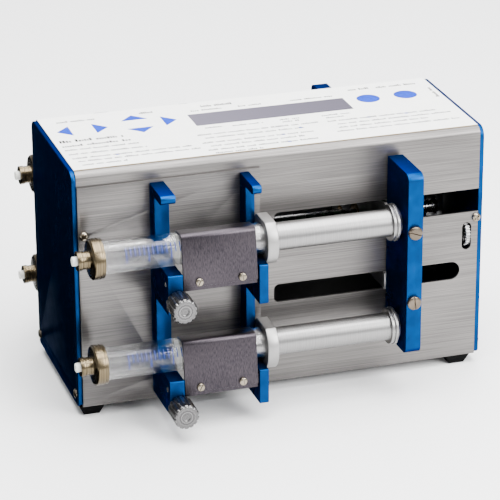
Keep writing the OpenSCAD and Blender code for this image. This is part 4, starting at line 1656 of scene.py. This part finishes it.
@dataclass
class SyringeBank:
    """Four glass syringes: barrels, scales, nozzles, collars, plungers and seals.

    Attributes:
        barrel_r: Outside radius of the glass.
        wall: Thickness of the glass.
        cap_r: Radius of the nozzle cap.
        cap_l: Length of the cap.
        hub_r: Radius of its hub.
        hub_l: Length of the hub.
        tip_r: Radius of the nozzle tip.
        tip_out: How far the tip stands out of the hub.
        tip_in: How far the tip goes into the hub.
        rod_r: Radius of the plunger rod.
        head_r: Radius of the plunger head.
        head_t: Thickness of the head.
        boss_l: Length of the boss behind the head.
        seal_r: Radius of the piston seal.
        tick_step: Distance between two lines of the scale.
        tick_line: Width of a line.
        tick_start: Where the scale starts, from the end of the glass.
        tick_count: Number of lines.
        tick_sweep: Sweep of a short line round the barrel, in degrees.
        tick_long_sweep: Sweep of every fifth line.
    """

    barrel_r: float = 9.1
    wall: float = 1.0
    cap_r: float = 11.3
    cap_l: float = 7.0
    hub_r: float = 5.4
    hub_l: float = 7.0
    tip_r: float = 2.6
    tip_out: float = 2.4
    tip_in: float = 4.0
    rod_r: float = 7.8
    head_r: float = 10.7
    head_t: float = 4.0
    boss_l: float = 2.0
    seal_r: float = 8.05
    tick_step: float = 2.5
    tick_line: float = 0.45
    tick_start: float = 17.0
    tick_count: int = 30
    tick_sweep: float = 34.0
    tick_long_sweep: float = 58.0

    def axes(self) -> list[tuple[Wall, Level, float, float]]:
        """Returns wall, level, Y and Z of the four syringe axes, in mm."""
        low, high = node_box("syringe_barrels")
        reach = high.y - self.barrel_r
        heights = {Level.UPPER: high.z - self.barrel_r, Level.LOWER: low.z + self.barrel_r}
        return [(w, l, w.value * reach, heights[l]) for w in Wall for l in Level]

    def build(self) -> None:
        """Builds every piece of the four syringes."""
        low, high = node_box("syringe_barrels")
        self.fixed("syringe_barrels", self.barrel_mesh(high.x - low.x), low.x, Finishes.glass)
        cap_x = node_box("nozzle_caps")[1].x - self.cap_l
        self.fixed("nozzle_caps", self.cap_mesh(), cap_x, Finishes.nickel)
        self.fixed("nozzle_tips", self.tip_mesh(), cap_x, Finishes.ptfe)
        dressed_copy("barrel_collars", Finishes.aluminium, CHASSIS, 0.5, 3)
        for wall, level, y, z in self.axes():
            label = channel(wall, level)
            rod, seal = self.plunger_mesh(label), self.seal_mesh(label)
            self.moving("plunger", label, rod, y, z, Finishes.turned_aluminium)
            self.moving("seal", label, seal, y, z, Finishes.ptfe)
        self.build_scales(low.x)
        LOG.info("syringes: four")

    def fixed(self, node: str, mesh: bpy.types.Mesh, x: float, finish: Finish) -> None:
        """Replaces a node of four like pieces by a turned one set on each axis.

        Args:
            node: The node.
            mesh: The turned piece, on X.
            x: Where its origin goes along X, in mm.
            finish: Its finish.
        """
        mesh.materials.append(finish.material())
        parts = [(mesh, place_x(x * MM, y * MM, z * MM)) for _, _, y, z in self.axes()]
        piece = new_object(node + "_turned", joined(node + "_turned", parts))
        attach(piece, CHASSIS)
        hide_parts(node)

    def moving(
        self, kind: str, label: str, mesh: bpy.types.Mesh, y: float, z: float, finish: Finish
    ) -> None:
        """Replaces a plunger or seal by a turned one on its own body.

        Args:
            kind: "plunger" or "seal".
            label: Wall and level.
            mesh: The turned piece, at its own X.
            y: Its axis along Y, in mm.
            z: Its axis along Z, in mm.
            finish: Its finish.
        """
        mesh.transform(place_x(0, y * MM, z * MM))
        piece = new_object(f"{kind}_{label}_turned", mesh, finish)
        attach(piece, f"plunger_{label}")
        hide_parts(f"{kind}_{label}")

    def barrel_mesh(self, length: float) -> bpy.types.Mesh:
        """Returns one glass tube with fire-polished ends.

        Args:
            length: Length of the tube, in mm.

        Returns:
            The mesh, starting at the origin.
        """
        outer, inner, middle = self.barrel_r, self.barrel_r - self.wall, length / 2
        profile = [(middle, inner), (0, inner), (0, outer), (length, outer), (length, inner)]
        return turned_mesh("barrel", fillet(profile, 0.35), 96, closed=True)

    def cap_mesh(self) -> bpy.types.Mesh:
        """Returns one nozzle cap with its hub, grooved rim and cup."""
        hub, cap, floor = self.hub_l, self.cap_l, 1.8
        profile = [
            (self.tip_in - hub, 0),
            (self.tip_in - hub, self.tip_r),
            (-hub, self.tip_r),
            (-hub, self.hub_r),
            (-hub + 2.6, self.hub_r),
            (-hub + 2.6, self.hub_r - 0.35),
            (0, self.hub_r - 0.35),
            (0, self.cap_r - 0.9),
            (1.0, self.cap_r),
            (cap - 1.5, self.cap_r),
            (cap - 1.4, self.cap_r - 0.25),
            (cap, self.cap_r - 0.25),
            (cap, self.barrel_r + 0.03),
            (floor, self.barrel_r + 0.03),
            (floor, 0),
        ]
        return turned_mesh("cap", fillet(profile, 0.25), 80)

    def tip_mesh(self) -> bpy.types.Mesh:
        """Returns one hollow nozzle tip."""
        start, end = -self.hub_l - self.tip_out, self.tip_in - self.hub_l
        middle = (start + end) / 2
        r = self.tip_r
        profile = [(middle, 1.0), (start, 1.0), (start, r), (end, r), (end, 1.0)]
        return turned_mesh("tip", fillet(profile, 0.3), 40, closed=True)

    def plunger_mesh(self, label: str) -> bpy.types.Mesh:
        """Returns a plunger: rod, two-step head and boss.

        Args:
            label: Wall and level.

        Returns:
            The mesh on X, at its own place along X.
        """
        start = node_box(f"seal_{label}")[1].x
        end = node_box(f"plunger_{label}")[1].x
        head = end - self.boss_l
        back = head - self.head_t
        profile = [
            (start, 0),
            (start, self.rod_r),
            (back, self.rod_r),
            (back, self.head_r - 0.4),
            (back + 1.7, self.head_r - 0.4),
            (back + 1.8, self.head_r - 0.8),
            (back + 2.1, self.head_r - 0.8),
            (back + 2.2, self.head_r),
            (head, self.head_r),
            (head, self.rod_r),
            (end, self.rod_r),
            (end, 0),
        ]
        return turned_mesh("plunger", fillet(profile, 0.3), 80)

    def seal_mesh(self, label: str) -> bpy.types.Mesh:
        """Returns a piston seal with two grooves.

        Args:
            label: Wall and level.

        Returns:
            The mesh on X, at its own place along X.
        """
        low, high = node_box(f"seal_{label}")
        groove = self.seal_r - 0.5
        profile = [(low.x, 0), (low.x, self.seal_r)]
        for centre in (low.x + 2.4, high.x - 2.4):
            profile += [
                (centre - 0.6, self.seal_r),
                (centre - 0.4, groove),
                (centre + 0.4, groove),
                (centre + 0.6, self.seal_r),
            ]
        profile += [(high.x, self.seal_r), (high.x, 0)]
        return turned_mesh("seal", fillet(profile, 0.25), 64)

    def build_scales(self, start_x: float) -> None:
        """Lays plain graduation lines on the outer side of each barrel.

        Args:
            start_x: Where the glass starts along X, in mm.
        """
        arcs: list[tuple[bpy.types.Mesh, Matrix]] = []
        for wall in Wall:
            for long_line in (False, True):
                sweep = self.tick_long_sweep if long_line else self.tick_sweep
                middle = 250.0 if wall is Wall.FRONT else 110.0
                first = middle - self.tick_long_sweep / 2
                if wall is Wall.REAR:
                    first = middle + self.tick_long_sweep / 2 - sweep
                places, turns = [], []
                for _, _, y, z in [a for a in self.axes() if a[0] is wall]:
                    for i in range(self.tick_count):
                        if (i % 5 == 0) is not long_line:
                            continue
                        x = start_x + self.tick_start + i * self.tick_step
                        places.append((x * MM, y * MM, z * MM))
                        spin = Matrix.Rotation(math.radians(first), 3, "Z")
                        lay = Matrix.Rotation(math.radians(90), 3, "Y")
                        turns.append(tuple((lay @ spin).to_euler("XYZ")))
                points = point_mesh("scale_points", places, {"turn": turns})
                values = {
                    "Radius": (self.barrel_r + 0.02) * MM,
                    "Sweep": math.radians(sweep),
                    "Line": self.tick_line * MM,
                    "Ink": 0.03 * MM,
                    "Finish": Finishes.scale_ink.material(),
                }
                arcs.append((run_tree(points, arc_tree(), values, "scale_lines"), Matrix()))
        piece = new_object("barrel_scales", joined("barrel_scales", arcs))
        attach(piece, CHASSIS)


# ---------------------------------------------------------------------------
# Holders, retainers and knobs
# ---------------------------------------------------------------------------


@dataclass
class Holders:
    """The four milled holders and the hinge pins in them.

    Attributes:
        edge: Broken edge of the milled blocks.
    """

    edge: float = 0.45

    def build(self) -> None:
        """Builds the holders and pins."""
        for wall in Wall:
            for side in ("left", "right"):
                node = f"{wall.name.lower()}_{side}_holder"
                dressed_copy(node, Finishes.blue, CHASSIS, self.edge, 3)
        dressed_copy("hinge_pins", Finishes.bright_steel, CHASSIS, 0.0)
        LOG.info("holders: four")


@dataclass
class Retainers:
    """Bent sheets that hold the barrels down, each screwed to its hinge bar.

    Sizes are in the sheet's own frame, with the hinge axis at the origin.

    Attributes:
        lean: Lean of a closed sheet, in degrees.
        thickness: Thickness of the sheet.
        bar_half: Half the side of the hinge bar.
        low: Height of the sheet's lower edge.
        top: Height of the inner face of the flange.
        flange_end: Where the flange ends.
        bend: Outside radius of the bend.
        screw_pitch: Distance between the two screws.
        bend_steps: Steps round the bend.
    """

    lean: float = 8.0
    thickness: float = 1.5
    bar_half: float = 4.2
    low: float = -1.8
    top: float = 26.41
    flange_end: float = 6.1
    bend: float = 3.0
    screw_pitch: float = 24.5
    bend_steps: int = 8

    def outline(self) -> list[tuple[float, float]]:
        """Returns the bent sheet's outline in its own frame."""
        front = -self.bar_half - self.thickness
        outer = self.top + self.thickness
        centre = (front + self.bend, outer - self.bend)
        points = [(front, self.low)]
        inner_r = self.bend - self.thickness
        outside, inside = [], []
        for step in range(self.bend_steps + 1):
            angle = math.pi - step / self.bend_steps * math.pi / 2
            cos, sin = math.cos(angle), math.sin(angle)
            outside.append((centre[0] + self.bend * cos, centre[1] + self.bend * sin))
            inside.append((centre[0] + inner_r * cos, centre[1] + inner_r * sin))
        points += outside
        points += [(self.flange_end, outer), (self.flange_end, self.top)]
        points += reversed(inside)
        points.append((front + self.thickness, self.low))
        return points

    def bar_outline(self, steps: int = 12) -> list[tuple[float, float]]:
        """Returns the hinge bar's outline: square towards the sheet, round behind.

        Args:
            steps: Points on the round side.

        Returns:
            The outline.
        """
        s = self.bar_half
        points = [(-s, s), (-s, -s)]
        for step in range(steps + 1):
            angle = -math.pi / 2 + step / steps * math.pi
            points.append((s * math.cos(angle), s * math.sin(angle)))
        return points

    def build(self) -> None:
        """Builds the four retainers."""
        part = ScrewHead("retainer_head", 2.2, 1.2, 0.35, Recess.SLOT, 0.7, 0.6).helper()
        for wall in Wall:
            for level in Level:
                self.build_one(wall, level, part)
        drop(part)
        LOG.info("retainers: four")

    def build_one(self, wall: Wall, level: Level, part: bpy.types.Object) -> None:
        """Builds one retainer in place.

        Args:
            wall: Its wall.
            level: Its level.
            part: The screw head helper.
        """
        label = channel(wall, level)
        low, high = node_box(f"retainer_{label}")
        pivot = joint_place(f"retainer_hinge_{label}")
        length = high.x - low.x
        sheet = new_object("sheet", prism_mesh("sheet", self.outline(), low.x, length))
        bar = new_object("bar", prism_mesh("bar", self.bar_outline(), low.x, length))
        sheet_mesh = broken_edges(sheet, 0.25, "sheet_dressed")
        bar_mesh = broken_edges(bar, 0.2, "bar_dressed")
        for mesh in (sheet_mesh, bar_mesh):
            mesh.materials.append(Finishes.retainer_steel.material())
        middle = (low.x + high.x) / 2
        front = -self.bar_half - self.thickness
        places = [(middle + s * self.screw_pitch / 2, front, 0.6) for s in (-1, 1)]
        turns = [facing(Wall.FRONT, 62.0), facing(Wall.FRONT, 96.0)]
        screws = scatter("retainer_screws", part, places, turns, Finishes.screw_nickel)
        place = Matrix.Translation((0, pivot.y * MM, pivot.z * MM))
        if wall is Wall.REAR:
            place = place @ Matrix.Diagonal((1, -1, 1, 1))
        place = place @ Matrix.Rotation(math.radians(-self.lean), 4, "X")
        name = f"retainer_{label}_bent"
        piece = new_object(
            name, joined(name, [(sheet_mesh, place), (bar_mesh, place), (screws, place)])
        )
        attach(piece, f"retainer_{label}")
        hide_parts(f"retainer_{label}")


@dataclass
class Knobs:
    """Fluted thumb knobs on their studs.

    Attributes:
        radius: Outside radius.
        length: Length of the knob.
        flutes: Number of flutes.
        flute_depth: Depth of a flute.
        stud_r: Radius of the stud.
        stud_l: Length of the stud.
    """

    radius: float = 7.2
    length: float = 13.8
    flutes: int = 14
    flute_depth: float = 0.5
    stud_r: float = 2.0
    stud_l: float = 14.0

    def knob_mesh(self) -> bpy.types.Mesh:
        """Returns a knob on +X with its stud behind it."""
        r, l = self.radius, self.length
        profile = [
            (-self.stud_l, 0),
            (-self.stud_l, self.stud_r),
            (0, self.stud_r),
            (0, r - 0.5),
            (0.5, r),
            (l - 0.9, r),
            (l, r - 0.9),
            (l, 2.2),
            (l - 0.35, 1.7),
            (l - 0.35, 0),
        ]
        blank = turned_mesh("knob_blank", fillet(profile, 0.15, 2), self.flutes * 12)
        values = {
            "Count": float(self.flutes),
            "Depth": self.flute_depth * MM,
            "Land": 0.1,
            "Core Radius": (r - 1.4) * MM,
            "Finish": Finishes.knob_aluminium.material(),
        }
        return run_tree(blank, flute_tree(), values, "knob_fluted")

    def build(self) -> None:
        """Builds the four knobs."""
        for wall in Wall:
            for level in Level:
                label = channel(wall, level)
                face = joint_place(f"knob_turn_{label}")
                turn = Matrix.Rotation(math.radians(90 * wall.value), 4, "Z")
                mesh = self.knob_mesh()
                mesh.transform(Matrix.Translation(face * MM) @ turn)
                piece = new_object(f"knob_{label}_fluted", mesh)
                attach(piece, f"knob_{label}")
                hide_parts(f"knob_{label}")
        LOG.info("knobs: four")


# ---------------------------------------------------------------------------
# Drive
# ---------------------------------------------------------------------------


@dataclass
class Drive:
    """Carriage, pushers, lead screw, gears and motor.

    Attributes:
        pusher_edge: Broken edge of the pushers.
        head_r: Radius of the pusher screws' heads.
        head_h: Height of those heads.
        thread_pitch: Pitch of the lead screw.
        thread_ridge: Size of the thread's ridge.
        knurls: Grooves round the trim wheel.
    """

    pusher_edge: float = 0.55
    head_r: float = 4.0
    head_h: float = 2.4
    thread_pitch: float = 2.0
    thread_ridge: float = 0.35
    knurls: int = 30

    def build(self) -> None:
        """Builds the drive."""
        for node in ("front_pusher", "rear_pusher"):
            dressed_copy(node, Finishes.blue, CARRIAGE, self.pusher_edge, 3)
        dressed_copy("carriage", Finishes.aluminium, CARRIAGE, 0.25)
        dressed_copy("nut_and_bushes", Finishes.brass, CARRIAGE, 0.2)
        dressed_copy("driven_gear", Finishes.brass, "screw", 0.0)
        dressed_copy("motor_pinion", Finishes.brass, "pinion", 0.0)
        dressed_copy("drive_motor", Finishes.motor_paint, CHASSIS, 1.0, 3)
        dressed_copy("drive_bulkhead", Finishes.inner_shaded_steel, CHASSIS, 0.2)
        dressed_copy("screw_bearings", Finishes.bright_steel, CHASSIS, 0.2)
        dressed_copy("end_bearing_block", Finishes.motor_paint, CHASSIS, 0.3)
        dressed_copy("guide_rods", Finishes.bright_steel, CHASSIS, 0.3)
        self.build_pusher_screws()
        self.build_lead_screw()
        self.build_trim_wheel()
        LOG.info("drive: built")

    def build_pusher_screws(self) -> None:
        """Builds the slotted screws on the pushers' faces."""
        low, high = node_box("pusher_screws")
        x = (low.x + high.x) / 2
        heights = (low.z + self.head_r, high.z - self.head_r)
        spins = {Wall.FRONT: (96.0, 160.0), Wall.REAR: (20.0, 70.0)}
        head = ScrewHead("cheese_head", self.head_r, self.head_h, 0.5, Recess.SLOT, 1.0, 1.1)
        part = head.helper()
        places, turns = [], []
        for wall in Wall:
            for z, spin in zip(heights, spins[wall]):
                places.append((x, wall.value * (high.y - self.head_h), z))
                turns.append(facing(wall, spin))
        mesh = scatter("pusher_screw_heads", part, places, turns, Finishes.screw_steel)
        drop(part)
        piece = new_object("pusher_screw_heads", mesh)
        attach(piece, CARRIAGE)
        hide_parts("pusher_screws")

    def build_lead_screw(self) -> None:
        """Builds the screw's core with a wound thread on it."""
        low, high = node_box("lead_screw")
        radius, centre = (high.z - low.z) / 2, (high.z + low.z) / 2
        root = radius - 0.6 * self.thread_ridge - 0.1
        plain = 10.0
        profile = [
            (low.x, 0),
            (low.x, radius),
            (low.x + plain, radius),
            (low.x + plain + 0.5, root),
            (high.x - plain - 0.5, root),
            (high.x - plain, radius),
            (high.x, radius),
            (high.x, 0),
        ]
        core = turned_mesh("screw_core", fillet(profile, 0.3), 48)
        core.materials.append(Finishes.bright_steel.material())
        length = high.x - low.x - 2 * plain
        points = point_mesh(
            "thread_point",
            [((low.x + plain) * MM, 0, 0)],
            {"turn": [(0.0, math.radians(90), 0.0)]},
        )
        values = {
            "Turns": length / self.thread_pitch,
            "Length": length * MM,
            "Radius": root * MM,
            "Ridge": self.thread_ridge * MM,
            "Finish": Finishes.bright_steel.material(),
        }
        thread = run_tree(points, spiral_tree(), values, "thread")
        lift = place_x(0, 0, centre * MM)
        name = "lead_screw_threaded"
        piece = new_object(name, joined(name, [(core, lift), (thread, lift)]))
        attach(piece, "screw")
        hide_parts("lead_screw")

    def build_trim_wheel(self) -> None:
        """Builds the knurled wheel behind its window."""
        low, high = node_box("trim_wheel")
        radius, width = (high.z - low.z) / 2, high.x - low.x
        bore = 1.55
        profile = [
            (width / 2, bore),
            (0, bore),
            (0, radius - 0.3),
            (0.3, radius),
            (width - 0.3, radius),
            (width, radius - 0.3),
            (width, bore),
        ]
        blank = turned_mesh("wheel_blank", profile, self.knurls * 8, closed=True)
        values = {
            "Count": float(self.knurls),
            "Depth": 0.6 * MM,
            "Land": -0.4,
            "Core Radius": (radius - 1.5) * MM,
            "Finish": Finishes.bright_steel.material(),
        }
        mesh = run_tree(blank, flute_tree(), values, "trim_wheel_knurled")
        centre = ((low.y + high.y) / 2, (low.z + high.z) / 2)
        mesh.transform(place_x(low.x * MM, centre[0] * MM, centre[1] * MM))
        piece = new_object("trim_wheel_knurled", mesh)
        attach(piece, "trim_wheel")
        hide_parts("trim_wheel")


# ---------------------------------------------------------------------------
# Studio
# ---------------------------------------------------------------------------


@dataclass
class SoftBox:
    """A square area light that looks at the pump.

    Attributes:
        name: The light's name.
        azimuth: Where it stands, in degrees from the front towards the drive end.
        elevation: Its height, in degrees.
        distance: Distance in metres.
        size: Side in metres.
        power: Power in watts.
    """

    name: str
    azimuth: float
    elevation: float
    distance: float
    size: float
    power: float

    def build(self, target: Vector) -> None:
        """Adds the light.

        Args:
            target: What it looks at.
        """
        light = bpy.data.lights.new(self.name, "AREA")
        light.size = self.size
        light.energy = self.power
        a, e = math.radians(self.azimuth), math.radians(self.elevation)
        out = Vector((math.sin(a) * math.cos(e), -math.cos(a) * math.cos(e), math.sin(e)))
        obj = bpy.data.objects.new(self.name, light)
        obj.location = target + out * self.distance
        obj.rotation_euler = (-out).to_track_quat("-Z", "Y").to_euler()
        bpy.context.scene.collection.objects.link(obj)


@dataclass
class Studio:
    """Pale floor, soft lights and the camera.

    Attributes:
        azimuth: The camera's azimuth, in degrees.
        elevation: The camera's elevation, in degrees.
        roll: The camera's roll, in degrees.
        distance: Distance from the case's middle to the camera's plane, in mm.
        aside: How far the case's middle lies right of the camera's axis, in mm.
        above: How far the case's middle lies above the camera's axis, in mm.
        lens: Focal length for a 36 mm sensor.
        world_colour: Colour of the light from all round.
        world_strength: Its strength.
        flag: The black card's low and high X and its low and high Y, in mm.
        lights: The soft boxes.
    """

    azimuth: float = -17.41
    elevation: float = 22.37
    roll: float = -0.31
    distance: float = 1522.52
    aside: float = 4.01
    above: float = 7.68
    lens: float = 189.8
    world_colour: str = "#E6E8EA"
    world_strength: float = 0.9
    flag: tuple[float, float, float, float] = (-3000.0, -121.0, -300.0, 3000.0)
    lights: tuple[SoftBox, ...] = (
        SoftBox("key", 32.0, 32.0, 1.2, 0.7, 30.0),
        SoftBox("top", 10.0, 82.0, 1.3, 1.2, 68.0),
        SoftBox("rear", 160.0, 50.0, 1.5, 1.0, 26.0),
    )

    def middle(self) -> Vector:
        """Returns the middle of the case, in metres."""
        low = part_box("left_end_plate")[0]
        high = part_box("right_end_plate")[1]
        return (low + high) / 2

    def build_camera(self) -> None:
        """Adds the camera."""
        a, e = math.radians(self.azimuth), math.radians(self.elevation)
        back = Vector((math.sin(a) * math.cos(e), -math.cos(a) * math.cos(e), math.sin(e)))
        right = Vector((math.cos(a), math.sin(a), 0))
        up = back.cross(right)
        r = math.radians(self.roll)
        level = Matrix((right, up, back)).transposed()
        turn = level @ Matrix.Rotation(r, 3, "Z")
        data = bpy.data.cameras.new("camera")
        data.sensor_width = 36.0
        data.lens = self.lens
        data.clip_start, data.clip_end = 0.05, 20.0
        camera = bpy.data.objects.new("camera", data)
        offset = turn @ Vector((-self.aside, -self.above, self.distance)) * MM
        camera.matrix_world = Matrix.Translation(self.middle() + offset) @ turn.to_4x4()
        bpy.context.scene.collection.objects.link(camera)
        bpy.context.scene.camera = camera

    def build_floor(self) -> None:
        """Adds the pale floor."""
        bm = bmesh.new()
        bmesh.ops.create_grid(bm, x_segments=1, y_segments=1, size=6.0)
        mesh = bpy.data.meshes.new("floor")
        bm.to_mesh(mesh)
        bm.free()
        floor = new_object("floor", mesh)
        material = bpy.data.materials.new("pale_floor")
        material.use_nodes = True
        shader = material.node_tree.nodes["Principled BSDF"]
        shader.inputs["Base Color"].default_value = linear("#F4F4F4")
        shader.inputs["Roughness"].default_value = 0.8
        shader.inputs["Specular IOR Level"].default_value = 0.2
        mesh.materials.append(material)

    def build_flag(self) -> None:
        """Lays a black card beside the pump, seen only as a dark reflection in its side."""
        low_x, high_x, low_y, high_y = (v * MM for v in self.flag)
        mesh = bpy.data.meshes.new("black_card")
        corners = [(low_x, low_y), (high_x, low_y), (high_x, high_y), (low_x, high_y)]
        mesh.from_pydata([(x, y, 0.5 * MM) for x, y in corners], [], [(0, 1, 2, 3)])
        card = new_object("black_card", mesh, Finishes.rubber)
        card.visible_camera = card.visible_diffuse = card.visible_shadow = False
        card.visible_transmission = False

    def build(self) -> None:
        """Builds the studio."""
        self.build_floor()
        self.build_flag()
        for light in self.lights:
            light.build(self.middle())
        world = bpy.data.worlds.new("studio")
        world.use_nodes = True
        background = world.node_tree.nodes["Background"]
        background.inputs["Color"].default_value = linear(self.world_colour)
        background.inputs["Strength"].default_value = self.world_strength
        bpy.context.scene.world = world
        self.build_camera()
        LOG.info("studio: %d lights", len(self.lights))


def main() -> None:
    """Builds the studio and every sub-assembly, in order."""
    logging.basicConfig(level=logging.INFO, format="%(name)s: %(message)s")
    Studio().build()
    Case().build()
    ControlPanel().build()
    Holders().build()
    SyringeBank().build()
    Retainers().build()
    Knobs().build()
    Drive().build()


if __name__ == "__main__":
    main()
